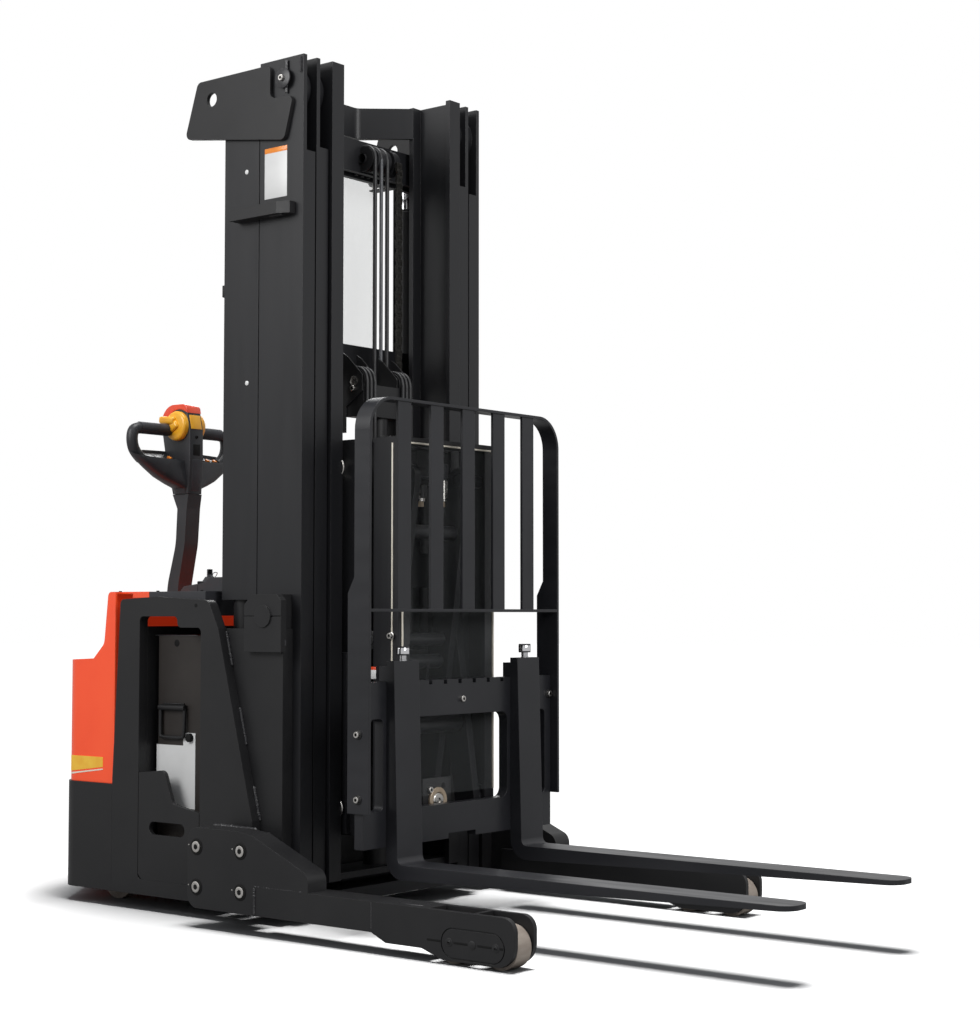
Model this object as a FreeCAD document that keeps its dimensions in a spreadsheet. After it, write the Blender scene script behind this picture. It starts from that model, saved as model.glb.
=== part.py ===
import FreeCAD, Part
import math
import os
import Sketcher
from FreeCAD import Placement, Rotation, Vector
from types import SimpleNamespace

# Walkie reach truck: pantograph reach stacker with a triplex mast and straddle legs.
# +X runs to the fork tips, +Y to the truck's left, +Z up; the floor is Z = 0.

os.makedirs("parts", exist_ok=True)
doc = FreeCAD.newDocument("reach_truck")
sheet = doc.addObject("Spreadsheet::Sheet", "Sizes")

# Driving dimensions in millimetres: alias, value, what it is.
# "Ahead" and "behind" are measured from the front plane of the outer mast rails.
DIMENSIONS = [
    ("mast_front", -173.0, "X of the front faces of the outer mast rails"),
    ("mast_half", 378.5, "outer face of the outer rails from the centre line"),
    ("rail_depth", 165.0, "outer and middle rails, front to back"),
    ("rail_width", 46.5, "flange width of each rail"),
    ("rail_gap", 5.0, "side gap between nested rails"),
    ("web", 13.0, "thickness of a rail web"),
    ("flange", 16.0, "thickness of a rail flange"),
    ("rail_top", 2339.0, "top of the rails"),
    ("rail_foot", 75.0, "foot of the outer rails"),
    ("stage_step", 15.0, "foot of each inner stage above the stage outside it"),
    ("flange_step", 261.0, "cut-away of the outer rail's front flange below its top"),
    ("middle_flange_step", 244.0, "cut-away of the middle rail's front flange"),
    ("inner_depth_less", 7.0, "inner rails shallower than the others"),
    ("inner_forward", 10.0, "inner rails ahead of the others"),
    ("roller_play", 0.3, "play between a mast roller and the flanges"),
    ("roller_width", 31.0, "width of a mast roller"),
    ("roller_drop", 84.0, "top rollers below the rail top"),
    ("roller_rise", 85.0, "bottom rollers above the stage's foot"),
    ("beam_plate", 18.0, "thickness of the mast cross beams"),
    ("beam_height", 94.0, "height of the mast cross beams"),
    ("low_beam_height", 110.0, "height of the lower cross beams"),
    ("outer_beam_top", 2196.0, "top of the outer stage's upper beam"),
    ("outer_beam_back", 215.0, "back face of the outer beams behind"),
    ("low_beam_top", 1608.0, "top of the outer stage's second beam"),
    ("middle_beam_top", 2205.0, "top of the middle stage's upper beam"),
    ("head_plate", 18.0, "plate over the heads of the lift rods"),
    ("bent_beam_drop", 3.0, "top of the inner stage's bent beam below the rail top"),
    ("bent_beam_height", 92.0, "height of the bent beam"),
    ("bent_beam_back", 261.0, "bent beam's flat stretch behind"),
    ("bent_beam_flat", 133.0, "half of the bent beam's flat stretch"),
    ("bend_round", 45.0, "outer radius of the bent beam's bends"),
    ("sheave_radius", 40.0, "chain wheels on the middle stage"),
    ("sheave_behind", 148.0, "axes of the chain and hose wheels behind"),
    ("sheave_drop", 55.0, "axes of the chain wheels below the middle beam's top"),
    ("sheave_half", 131.0, "lift chains from the centre line"),
    ("chain_width", 24.0, "width of a lift chain"),
    ("chain_thick", 8.7, "thickness of a lift chain"),
    ("chain_front", 99.0, "front of the lift chains behind"),
    ("chain_top", 2150.0, "upper end of the straight chain runs"),
    ("hose_wheel_radius", 36.0, "hose wheel on the middle stage"),
    ("hose_wheel_near", 52.0, "hose wheel's inner face from the centre line"),
    ("hose_wheel_width", 58.0, "width of the hose wheel"),
    ("lug_plate", 12.0, "thickness of the lifting lugs"),
    ("lug_rear", 454.0, "lug's rear end behind"),
    ("lug_rear_top", 403.0, "lug's upper rear corner behind"),
    ("lug_top", 2325.0, "top of the lugs"),
    ("lug_step", 116.0, "lug's step behind"),
    ("lug_step_z", 2231.0, "height of the lug's step"),
    ("lug_front", 28.0, "lug's front corner behind"),
    ("lug_front_low", 62.0, "lug's lower front corner behind"),
    ("lug_low", 2110.0, "lowest corner of the lugs"),
    ("lug_rear_low", 2170.0, "lug's lower rear corner above the floor"),
    ("lug_round", 18.0, "rounded corners of the lugs"),
    ("lug_hole_radius", 20.0, "lifting hole"),
    ("lug_hole_back", 346.0, "lifting hole behind"),
    ("lug_hole_z", 2268.0, "lifting hole above the floor"),
    ("cover_back", 302.0, "back of the mast side covers behind"),
    ("cover_seam", 3.0, "seam between cover and rail"),
    ("cover_sheet", 4.0, "cover sheet"),
    ("cover_foot", 863.0, "foot of the covers"),
    ("cover_crest", 2150.0, "top of the covers"),
    ("guard_sheet", 5.0, "clear guard between the mast's side covers"),
    ("guard_half", 250.0, "half width of the clear guard"),
    ("guard_foot", 1585.0, "foot of the clear guard"),
    ("guard_top", 2134.0, "top of the clear guard"),
    ("bracket_width", 30.0, "width of the guard's brackets"),
    ("bracket_sheet", 4.0, "thickness of the guard's brackets"),
    ("lift_bore", 22.3, "bore radius of the mast lift cylinders"),
    ("lift_barrel", 32.0, "outer radius of their barrels"),
    ("lift_rod", 22.0, "radius of their rods"),
    ("lift_barrel_top", 2040.0, "top of their barrels"),
    ("lift_back", 252.0, "lift cylinder axes behind"),
    ("lift_half", 338.0, "lift cylinder axes from the centre line"),
    ("bar_foot", 1905.0, "underside of the side bars on the mast"),
    ("bar_height", 33.0, "height of the side bars"),
    ("bar_rear", 245.0, "rear end of the side bars behind"),
    ("bar_bend", 66.0, "bend of the side bars behind"),
    ("bar_front", 30.0, "front end of the side bars behind"),
    ("bar_out", 36.0, "side bars out from the rail"),
    ("bar_taper", 15.0, "slant of the side bars' front end"),
    ("frame_half", 445.0, "outer face of the side frames"),
    ("frame_plate", 30.0, "thickness of the side frames"),
    ("frame_foot", 42.0, "underside of the chassis"),
    ("frame_rear", 674.0, "rear edge of the side frames behind"),
    ("frame_lean", 28.0, "slope of the side frames' rear edge"),
    ("frame_hip", 358.0, "start of that slope"),
    ("frame_rear_top", 866.0, "side frames' upper rear corner"),
    ("frame_peak", 873.0, "highest corner of the side frames"),
    ("frame_peak_behind", 492.0, "highest corner behind"),
    ("frame_shoulder", 862.0, "side frames' upper front corner"),
    ("frame_shoulder_behind", 286.0, "upper front corner behind"),
    ("frame_waist", 785.0, "top of the side frames' slanted front edge"),
    ("frame_waist_behind", 247.0, "top of that edge behind"),
    ("frame_toe", 274.0, "foot of that edge"),
    ("frame_toe_behind", 112.0, "front edge of the side frames behind"),
    ("gusset_foot", 52.0, "underside of the mast gussets"),
    ("gusset_top", 785.0, "top of the mast gussets"),
    ("gusset_back", 310.0, "rear of the mast gussets behind"),
    ("gusset_front", 30.0, "front of the mast gussets behind"),
    ("clamp_back", 157.0, "rail clamps' rear behind"),
    ("clamp_front", 19.0, "rail clamps' front behind"),
    ("clamp_foot", 723.0, "foot of the rail clamps"),
    ("clamp_height", 154.0, "height of the rail clamps"),
    ("clamp_out", 20.0, "rail clamps out from the gussets"),
    ("clamp_cut", 28.0, "rear chamfer of the rail clamps"),
    ("clamp_nose", 16.0, "front chamfer of the rail clamps"),
    ("clamp_boss", 30.0, "round boss of the rail clamps"),
    ("clamp_boss_behind", 86.0, "that boss behind"),
    ("clamp_boss_z", 818.5, "height of that boss"),
    ("clamp_boss_out", 4.0, "that boss out from the clamp"),
    ("clamp_split", 3.0, "split of the rail clamps"),
    ("window_back", 564.0, "battery window's back edge behind"),
    ("window_front", 314.0, "battery window's front edge behind"),
    ("window_top", 818.0, "battery window's top edge"),
    ("window_step", 409.0, "step in the window's top edge behind"),
    ("window_low_top", 787.0, "battery window's top edge ahead of the step"),
    ("window_sill", 85.0, "battery window's bottom edge"),
    ("window_round", 14.0, "rounded corners of the battery window"),
    ("gate_play", 2.0, "gap round the battery gates"),
    ("gate_plate", 12.0, "thickness of the battery gates"),
    ("gate_top", 381.0, "gates' rear top corner"),
    ("gate_peak", 392.0, "gates' top before their slope"),
    ("gate_peak_behind", 458.0, "start of the gates' slope behind"),
    ("gate_dip", 300.0, "foot of the gates' slope"),
    ("gate_dip_behind", 423.0, "foot of the gates' slope behind"),
    ("gate_front_top", 283.0, "gates' front top corner"),
    ("gate_round", 22.0, "rounded corners of the gates"),
    ("slot_back", 517.0, "gate's slot behind, its rear end"),
    ("slot_front", 373.0, "gate's slot behind, its front end"),
    ("slot_foot", 212.0, "underside of the gate's slot"),
    ("slot_height", 36.0, "height of the gate's slot"),
    ("battery_length", 780.0, "battery across the truck"),
    ("battery_width", 210.0, "battery along the truck"),
    ("battery_gap", 20.0, "battery behind the bay's front wall"),
    ("battery_foot", 128.0, "underside of the battery"),
    ("battery_height", 637.0, "battery case height"),
    ("bulkhead", 12.0, "thickness of the battery bay's rear wall"),
    ("front_wall", 4.0, "thickness of the battery bay's front wall"),
    ("bay_top", 790.0, "top of the battery bay's walls"),
    ("foot_plate", 35.0, "thickness of the plate under the mast"),
    ("deck_z", 240.0, "underside of the machine deck"),
    ("deck_plate", 15.0, "thickness of the machine deck"),
    ("deck_back", 840.0, "rear of the wide machine deck behind"),
    ("tail_deck_back", 1040.0, "rear of the narrow deck behind"),
    ("tail_deck_half", 200.0, "half width of the narrow deck"),
    ("turret_hole", 96.0, "radius of the hole for the drive unit"),
    ("skirt_side", 871.0, "side end of the skirt behind"),
    ("tail_back", 1090.0, "tail of the hood behind"),
    ("tail_half", 170.0, "half of the tail's flat stretch"),
    ("tail_side_round", 60.0, "rounding at the tail's sides"),
    ("tail_round", 250.0, "rounding at the tail's corners"),
    ("skirt_sheet", 8.0, "thickness of the skirt"),
    ("skirt_top", 343.0, "top of the skirt"),
    ("hood_gap", 6.0, "hood set in from the skirt"),
    ("hood_wall", 6.0, "wall of the hood"),
    ("hood_foot_behind", 1100.0, "foot of the hood's rear face behind"),
    ("hood_rear_behind", 1045.0, "shoulder of the hood's rear face behind"),
    ("hood_shoulder", 685.0, "hood's shoulder height"),
    ("hood_ledge", 697.0, "front end of the hood's rear deck"),
    ("hood_ledge_behind", 768.0, "that end behind"),
    ("hood_riser", 740.0, "foot of the hood's upper step"),
    ("hood_riser_behind", 722.0, "foot of the upper step behind"),
    ("hood_crest_behind", 706.0, "top of the upper step behind"),
    ("hood_front_behind", 646.5, "hood's front edge at its top behind"),
    ("hood_front_low_behind", 674.5, "hood's front edge at its foot behind"),
    ("hood_ledge_round", 30.0, "rounding between the rear deck and the upper step"),
    ("hood_shoulder_round", 26.0, "rounding of the hood's shoulder"),
    ("hood_crest_round", 14.0, "rounding of the hood's crest"),
    ("hood_top", 888.0, "top of the hood"),
    ("crown_back", 690.0, "rear edge of the hood's top panel behind"),
    ("crown_front", 560.0, "front edge of the hood's top panel behind"),
    ("lid_gap", 0.3, "seam between the hood and the grey lid"),
    ("lid_front", 330.0, "front edge of the grey lid behind"),
    ("lid_foot", 820.0, "underside of the grey lid"),
    ("console_half", 260.0, "half width of the console"),
    ("console_top", 930.0, "top of the console"),
    ("console_lip", 905.0, "rear lip of the console"),
    ("console_ramp", 915.0, "top of the console's rear ramp"),
    ("console_back", 604.0, "rear of the console behind"),
    ("console_lip_behind", 585.0, "rear lip behind"),
    ("console_ramp_behind", 500.0, "top of the rear ramp behind"),
    ("console_rise_behind", 480.0, "rear edge of the console's top behind"),
    ("console_front_top", 350.0, "front edge of the console's top behind"),
    ("console_front", 340.0, "front of the console behind"),
    ("console_round", 12.0, "rounding of the console's front edge"),
    ("button_radius", 20.0, "emergency button"),
    ("button_height", 32.0, "height of the emergency button"),
    ("button_behind", 445.0, "emergency button behind"),
    ("button_side", 190.0, "emergency button right of the centre line"),
    ("frame_round", 30.0, "rounded upper front corner of the side frames"),
    ("drive_back", 880.0, "steering axis behind"),
    ("drive_radius", 115.0, "drive wheel radius"),
    ("drive_width", 75.0, "drive wheel width"),
    ("drive_shaft", 20.0, "radius of the drive wheel's shaft"),
    ("turret_radius", 90.0, "radius of the drive unit's turret"),
    ("turret_top", 310.0, "top of the turret"),
    ("slew_radius", 115.0, "radius of the slewing ring"),
    ("slew_height", 19.7, "height of the slewing ring"),
    ("gear_half", 50.0, "half length of the gear case"),
    ("gear_width", 35.0, "width of the gear case"),
    ("gear_foot", 85.0, "underside of the gear case"),
    ("motor_half", 65.0, "half width of the drive motor"),
    ("motor_top", 500.0, "top of the drive motor"),
    ("column_radius", 40.0, "radius of the steering column"),
    ("yoke_half", 45.0, "outer face of the tiller's yoke"),
    ("yoke_ear", 12.0, "thickness of the yoke's ears"),
    ("yoke_length", 60.0, "length of the yoke's ears"),
    ("yoke_foot", 680.0, "underside of the yoke"),
    ("yoke_base", 15.0, "thickness of the yoke's base"),
    ("yoke_top", 745.0, "top of the yoke's ears"),
    ("tiller_pin", 10.0, "radius of the tiller's pin"),
    ("tiller_pivot", 722.0, "height of the tiller's pivot"),
    ("well_radius", 60.0, "radius of the hole for the tiller"),
    ("well_foot", 600.0, "foot of the hole for the tiller"),
    ("bore_play", 0.5, "running play round small pins"),
    ("caster_back", 745.0, "caster axis behind"),
    ("caster_half", 315.0, "caster axis from the centre line"),
    ("caster_radius", 62.5, "caster wheel radius"),
    ("caster_width", 40.0, "caster wheel width"),
    ("caster_trail", 28.0, "caster wheel behind its swivel axis"),
    ("caster_neck", 25.0, "radius of the caster's swivel head"),
    ("caster_bridge", 140.0, "underside of the caster's bridge"),
    ("caster_plate", 20.0, "thickness of the caster's bridge"),
    ("caster_sheet", 6.0, "thickness of the caster's cheeks"),
    ("caster_play", 4.0, "gap between caster wheel and cheek"),
    ("caster_cheek", 25.0, "half length of the caster's cheeks"),
    ("caster_foot", 50.0, "lower end of the caster's cheeks"),
    ("caster_axle", 8.0, "radius of the caster's axle"),
    ("leg_stand", 44.0, "pad between side frame and leg plate"),
    ("leg_plate", 68.0, "thickness of the leg's bolting plate"),
    ("leg_width", 86.0, "width of the leg beams"),
    ("leg_foot", 51.0, "underside of the leg beams"),
    ("leg_top", 125.0, "top of the leg beams"),
    ("leg_rear", 238.0, "rear of the leg plate behind"),
    ("leg_crest", 262.0, "top of the leg plate"),
    ("leg_crest_behind", 60.0, "front end of that top behind"),
    ("leg_beam_back", 12.0, "leg beam starts ahead"),
    ("leg_slope_top", 255.0, "top of the leg plate's slope"),
    ("leg_slope_foot", 170.0, "foot of that slope"),
    ("leg_nose", 201.0, "nose of the leg plate ahead"),
    ("leg_corner", 35.0, "rounded rear corners of the leg plate"),
    ("leg_nose_round", 32.0, "rounded nose of the leg plate"),
    ("pad_back", 225.0, "rear of the leg's pad behind"),
    ("pad_front", 40.0, "front of the leg's pad behind"),
    ("pad_foot", 60.0, "underside of the leg's pad"),
    ("pad_top", 250.0, "top of the leg's pad"),
    ("housing_back", 414.0, "rear of the wheel housing ahead"),
    ("housing_belly", 30.0, "underside of the housing behind its wheels"),
    ("housing_belly_back", 461.0, "start of that underside ahead"),
    ("housing_belly_front", 575.0, "end of that underside ahead"),
    ("housing_foot", 9.0, "underside of the housing beside its wheels"),
    ("housing_foot_back", 640.0, "start of that underside ahead"),
    ("housing_front", 855.0, "front of the wheel housing ahead"),
    ("housing_foot_round", 52.0, "rounding at the housing's lower front corner"),
    ("housing_top_round", 34.0, "rounding at the housing's upper front corner"),
    ("housing_bend_round", 25.0, "rounding at the housing's bends"),
    ("leg_wall", 13.0, "side walls of the wheel housing"),
    ("well_back", 592.0, "rear of the wheel well ahead"),
    ("web_sheet", 12.0, "webs across the wheel well"),
    ("web_foot", 104.0, "underside of those webs"),
    ("web_ahead", 724.0, "web between the wheels ahead"),
    ("cap_back", 638.0, "rear of the obround cover ahead"),
    ("cap_front", 824.0, "front of the obround cover ahead"),
    ("cap_z", 51.0, "height of the obround cover's centre"),
    ("cap_round", 33.5, "radius of the obround cover's ends"),
    ("cap_groove", 3.0, "groove round the obround cover"),
    ("load_radius", 51.0, "load wheel radius"),
    ("load_width", 54.0, "load wheel width"),
    ("load_axle", 10.0, "radius of the load wheels' axles"),
    ("load_first", 660.0, "first load wheel axle ahead"),
    ("load_second", 800.0, "second load wheel axle ahead"),
    ("bogie_bar", 2.5, "thickness of the bogie's bar"),
    ("bogie_height", 20.0, "height of the bogie's bar"),
    ("free_back", 65.0, "free-lift cylinder's axis behind"),
    ("free_barrel", 38.0, "outer radius of the free-lift cylinder"),
    ("free_rod", 28.0, "radius of its rod"),
    ("free_top", 1330.0, "top of its barrel"),
    ("free_rod_foot", 195.0, "lower end of its rod"),
    ("free_rod_top", 1400.0, "upper end of its rod"),
    ("bore_foot", 40.0, "bore's foot above the inner stage's foot"),
    ("head_back", 100.0, "rear of the crosshead behind"),
    ("head_front", 30.0, "front of the crosshead behind"),
    ("head_half", 100.0, "half width of the crosshead"),
    ("head_foot", 1380.0, "underside of the crosshead"),
    ("head_height", 90.0, "height of the crosshead"),
    ("head_wheel", 36.0, "radius of the crosshead's wheels"),
    ("head_wheel_behind", 63.0, "axis of the crosshead's wheels behind"),
    ("head_wheel_z", 1480.0, "height of that axis"),
    ("head_wheel_near", 50.0, "inner face of the crosshead's wheels"),
    ("head_wheel_width", 48.0, "width of the crosshead's wheels"),
    ("guide_sheet", 4.0, "thickness of the crosshead's guide plates"),
    ("guide_top", 1562.0, "top of the guide plates"),
    ("guide_rear", 106.0, "rear of the guide plates behind"),
    ("guide_crest", 87.0, "top corner of the guide plates behind"),
    ("guide_crest_z", 1550.0, "height of that corner"),
    ("guide_front", 33.0, "front of the guide plates behind"),
    ("guide_front_top", 1496.0, "top of the guide plates' front edge"),
    ("guide_front_low", 1451.0, "foot of that front edge"),
    ("guide_heel", 68.0, "foot of the near guide plates behind"),
    ("guide_heel_z", 1425.0, "height of that foot"),
    ("guide_tail", 95.0, "tail of the near guide plates behind"),
    ("guide_knee", 1408.0, "top of that tail"),
    ("guide_low", 1335.0, "lower end of the guide plates"),
    ("guide_inner_face", 44.0, "inner guide plates from the centre line"),
    ("carriage_half", 222.0, "outer face of the lift carriage"),
    ("carriage_back", 150.0, "rear of the carriage's side plates behind"),
    ("carriage_low", 230.0, "foot of the carriage's side plates"),
    ("carriage_high", 720.0, "top of the carriage's side plates"),
    ("carriage_roller_low", 310.0, "height of the carriage's lower rollers"),
    ("carriage_roller_top", 640.0, "height of the carriage's upper rollers"),
    ("track_half", 205.0, "outer face of the vertical roller tracks"),
    ("track_width", 43.0, "width of a roller track"),
    ("track_depth", 96.0, "depth of a roller track"),
    ("track_wall", 11.0, "walls of a roller track"),
    ("track_foot", 225.0, "foot of the tracks"),
    ("track_top", 1290.0, "top of the tracks"),
    ("track_round", 6.0, "rounded corners of the tracks"),
    ("top_sheet", 12.0, "thickness of the plates over the tracks"),
    ("rear_track", 22.0, "rear track's centre ahead"),
    ("tie_inset", 8.0, "carriage's ties ahead of the track's rear face"),
    ("tie_height", 40.0, "height of the plates across the tracks' feet"),
    ("tie_thick", 20.0, "thickness of the carriage's foot plate"),
    ("mid_tie_z", 900.0, "underside of the carriage's middle tie"),
    ("mid_tie_height", 100.0, "height of the carriage's middle tie"),
    ("mid_tie_thick", 10.0, "thickness of the carriage's middle tie"),
    ("front_tie_thick", 30.0, "thickness of the front frame's foot plate"),
    ("valve_back", 5.0, "rear of the valve block behind"),
    ("valve_length", 70.0, "valve block front to back"),
    ("valve_near", 20.0, "valve block's near face"),
    ("valve_width", 70.0, "width of the valve block"),
    ("valve_height", 100.0, "height of the valve block"),
    ("coil_radius", 15.0, "radius of the valve's coils"),
    ("coil_length", 38.0, "length of the valve's coils"),
    ("ear_front", 24.0, "front of the reach cylinder's ears ahead"),
    ("ear_top", 322.0, "top of those ears"),
    ("ear_inner", 28.0, "inner faces of those ears"),
    ("ear_plate", 12.0, "thickness of those ears"),
    ("foot_pin", 10.0, "radius of the reach cylinder's foot pin"),
    ("foot_ahead", 2.0, "reach cylinder's foot pin ahead"),
    ("foot_z", 300.0, "height of that pin"),
    ("reach_barrel", 27.0, "outer radius of the reach cylinder"),
    ("reach_rod", 16.0, "radius of its rod"),
    ("reach_stub", 60.0, "barrel ends short of the rod's eye by this"),
    ("reach_eye", 22.0, "radius of the cylinder's eyes"),
    ("reach_bore", 12.0, "bore radius of the rod's eye"),
    ("eye_play", 0.3, "side gap of the cylinder's foot eye"),
    ("rod_eye_play", 2.4, "side gap of the rod's eye"),
    ("eye_sink", 2.0, "barrel and rod let into their eyes"),
    ("reach_bore_foot", 60.0, "bore's foot from the foot pin"),
    ("rod_foot", 80.0, "rod's lower end from the foot pin"),
    ("arm_length", 900.0, "pantograph arm between its end pins"),
    ("arm_rest", 8.0, "arm angle from upright at rest, degrees"),
    ("arm_depth", 70.0, "depth of an arm"),
    ("arm_plate", 25.0, "thickness of an arm"),
    ("arm_pin_drop", 90.0, "arms' top pins below the tracks' top"),
    ("outer_arm_half", 155.0, "outer face of the outer arms"),
    ("inner_arm_half", 125.0, "outer face of the inner arms"),
    ("pin_radius", 17.5, "pantograph pins"),
    ("pin_play", 0.5, "running play round the pins"),
    ("roller_gap", 1.0, "running gap of the arms' rollers"),
    ("tube_drop", 680.0, "outer arms' cross tube below their pins"),
    ("outer_tube", 25.0, "radius of the outer arms' cross tube"),
    ("inner_tube", 20.0, "radius of the inner arms' cross tubes"),
    ("lug_depth", 40.0, "depth of the rod's lugs on the inner arms"),
    ("rod_lug_half", 30.0, "inner faces of those lugs"),
    ("rod_lug_plate", 10.0, "thickness of those lugs"),
    ("lug_boss", 13.0, "radius of the bosses on those lugs"),
    ("lug_boss_out", 5.0, "those bosses out from the lugs"),
    ("tilt_ahead", 177.0, "tilt pivot ahead"),
    ("tilt_z", 600.0, "tilt pivot's height"),
    ("tilt_pin", 12.0, "radius of the tilt pins"),
    ("tilt_ear", 15.0, "thickness of the tilt ears"),
    ("tilt_ear_gap", 5.0, "gap between the tilt ears and the tracks"),
    ("tilt_ear_half", 25.0, "half height of the tilt ears"),
    ("shield_sheet", 5.0, "clear shield before the pantograph"),
    ("shield_half", 195.0, "half width of the clear shield"),
    ("shield_foot", 335.0, "foot of the clear shield"),
    ("shield_drop", 2.0, "top of the shield below the tracks' top"),
    ("plate_back", 216.0, "back of the fork plate ahead"),
    ("plate_thick", 30.0, "thickness of the fork plate"),
    ("plate_half", 401.5, "half width of the fork plate"),
    ("plate_top", 648.0, "top of the fork plate"),
    ("plate_foot", 220.0, "foot of the fork plate"),
    ("plate_window_foot", 314.0, "foot of the fork plate's windows"),
    ("plate_window_top", 552.0, "top of the fork plate's windows"),
    ("plate_window_half", 200.0, "half width of the middle window"),
    ("plate_window_round", 26.0, "rounded corners of the windows"),
    ("side_window_near", 325.0, "side windows' inner edges"),
    ("side_window_far", 375.0, "side windows' outer edges"),
    ("notch_pitch", 62.0, "pitch of the fork notches along the plate's top"),
    ("notch_width", 14.0, "width of a fork notch"),
    ("notch_depth", 12.0, "depth of a fork notch"),
    ("notch_shift", 21.0, "middle of the row of notches left of the centre"),
    ("low_notch_half", 58.0, "half width of the notch in the plate's foot"),
    ("low_notch_depth", 14.0, "depth of that notch"),
    ("fork_half", 263.0, "fork centre from the centre line"),
    ("fork_width", 100.0, "fork width"),
    ("fork_thick", 40.0, "fork thickness"),
    ("fork_tip", 12.0, "thickness of the fork's tip"),
    ("fork_length", 1150.0, "fork blade ahead of its heel's front face"),
    ("fork_top_z", 178.0, "top of the fork blades at rest"),
    ("fork_heel", 55.0, "outer rounding of the fork's heel"),
    ("fork_throat", 18.0, "inner rounding of the fork's heel"),
    ("fork_tip_round", 40.0, "rounded corners of the fork's tip"),
    ("fork_taper", 26.0, "thickness of the shank at its top"),
    ("shank_top", 702.0, "top of the fork shanks"),
    ("hook_depth", 26.0, "depth of the fork's hook over the plate"),
    ("lock_pin", 9.0, "radius of the fork's lock pin"),
    ("lock_knob", 17.0, "radius of the lock pin's knob"),
    ("lock_neck", 14.0, "knob above the shank"),
    ("lock_height", 24.0, "height of the lock pin's knob"),
    ("rest_half", 410.0, "outer face of the load backrest"),
    ("rest_sheet", 8.0, "thickness of the backrest's flat bars"),
    ("rest_top", 1392.0, "top of the backrest"),
    ("rest_round", 90.0, "rounded top corners of the backrest"),
    ("rest_mid", 838.0, "lower cross bar of the backrest"),
    ("rest_front", 272.0, "front edges of the backrest ahead"),
    ("rest_depth", 52.0, "depth of the backrest's frame bar"),
    ("rest_foot", 312.0, "foot of the backrest's side plates"),
    ("rest_bar", 52.0, "width of the backrest's upright bars"),
    ("rest_pitch", 134.0, "pitch of the upright bars"),
    ("rest_bar_inset", 4.0, "upright bars behind the backrest's front edges"),
    ("cheek_depth", 74.0, "depth of the backrest's lower side plates"),
    ("cheek_top", 878.0, "top of those plates' deep part"),
    ("cheek_slope", 42.0, "height of the slope above it"),
    ("knob_radius", 46.0, "radius of the travel knobs"),
    ("knob_width", 17.7, "width of the travel knobs"),
    ("knob_ahead", 12.0, "travel knobs ahead of the steering axis"),
    ("knob_z", 1407.0, "height of the travel knobs"),
    ("wing_back", 48.0, "wings of the knobs behind the steering axis"),
    ("wing_front", 18.0, "wings' front ahead of the steering axis"),
    ("wing_foot", 1413.0, "underside of the wings"),
    ("wing_height", 26.0, "height of the wings"),
    ("wing_out", 60.0, "outer face of the wings"),
    ("tiller_bend", 200.0, "bends of the tiller arm"),
    ("arch_round", 54.0, "rounded rear top of the tiller head"),
    ("brow_round", 30.0, "rounded front top of the tiller head"),
    ("bowl_back", 50.0, "rear of the handle's bowl behind the steering axis"),
    ("bowl_ahead", 40.0, "front of the bowl ahead of the steering axis"),
    ("bowl_stem", 13.0, "rear of the bowl's foot behind the steering axis"),
    ("rim_front", 1300.0, "front rim of the bowl"),
    ("head_split", 1195.3, "foot of the tiller head"),
    ("tiller_half", 28.0, "half width of the tiller arm and column"),
    ("grip_back", 33.0, "rear of the handle's loops behind the steering axis"),
    ("grip_front", 9.0, "front of the loops ahead of the steering axis"),
    ("grip_half", 213.0, "half width of the handle"),
    ("grip_top", 1411.0, "top of the handle's grips"),
    ("grip_round", 42.0, "rounded upper corners of the handle"),
    ("bowl_round", 60.0, "rounding under the handle"),
    ("loop_near", 65.0, "inner end of a handle loop"),
    ("loop_far", 160.0, "outer end of a handle loop"),
    ("loop_foot", 1332.0, "foot of a handle loop"),
    ("loop_top", 1375.0, "top of a handle loop"),
    ("loop_round", 18.0, "rounded corners of a handle loop"),
    ("seat", 0.3, "gap at a seat"),
    ("over", 1.0, "overrun of a cutting tool"),
]

# Tiller arm, side view: height above the floor, rear face, front face, from the steering axis.
TILLER_SECTIONS = [
    (706.0, -20.0, 20.0),
    (760.0, -24.0, 24.0),
    (900.0, -37.0, 13.0),
    (1040.0, 3.0, 43.0),
    (1150.0, 9.0, 51.0),
    (1195.0, -13.0, 58.0),
]

# Column of the tiller head, side view, in the same columns.
COLUMN_SECTIONS = [
    (1195.3, -13.0, 58.0),
    (1300.0, -45.0, 64.0),
    (1395.0, -64.0, 63.0),
    (1474.0, -64.0, 45.0),
]

# Handle, front view: height above the floor, half width.
HANDLE_SECTIONS = [
    (1195.3, 40.0),
    (1222.0, 114.0),
    (1267.0, 177.0),
    (1322.0, 208.0),
]

# Places along the inner arms, as shares of the way down from their top pins.
ROD_EYE_SHARE = 2 / 3
LOW_TUBE_SHARE = 0.57
HIGH_TUBE_SHARE = 1 / 6


class Size:
    """A length together with the sheet expression that gives it."""

    def __init__(self, value, text):
        self.value = float(value)
        self.text = text

    def __add__(self, other):
        other = as_size(other)
        return Size(self.value + other.value, "(%s + %s)" % (self.text, other.text))

    def __radd__(self, other):
        return as_size(other) + self

    def __sub__(self, other):
        other = as_size(other)
        return Size(self.value - other.value, "(%s - %s)" % (self.text, other.text))

    def __rsub__(self, other):
        return as_size(other) - self

    def __mul__(self, factor):
        factor = as_size(factor)
        return Size(self.value * factor.value, "(%s * %s)" % (self.text, factor.text))

    def __rmul__(self, factor):
        return self * factor

    def __truediv__(self, factor):
        return Size(self.value / factor, "(%s / %r)" % (self.text, float(factor)))

    def __neg__(self):
        return Size(-self.value, "(0 - %s)" % self.text)


def as_size(number):
    if isinstance(number, Size):
        return number
    return Size(number, repr(float(number)))


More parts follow.
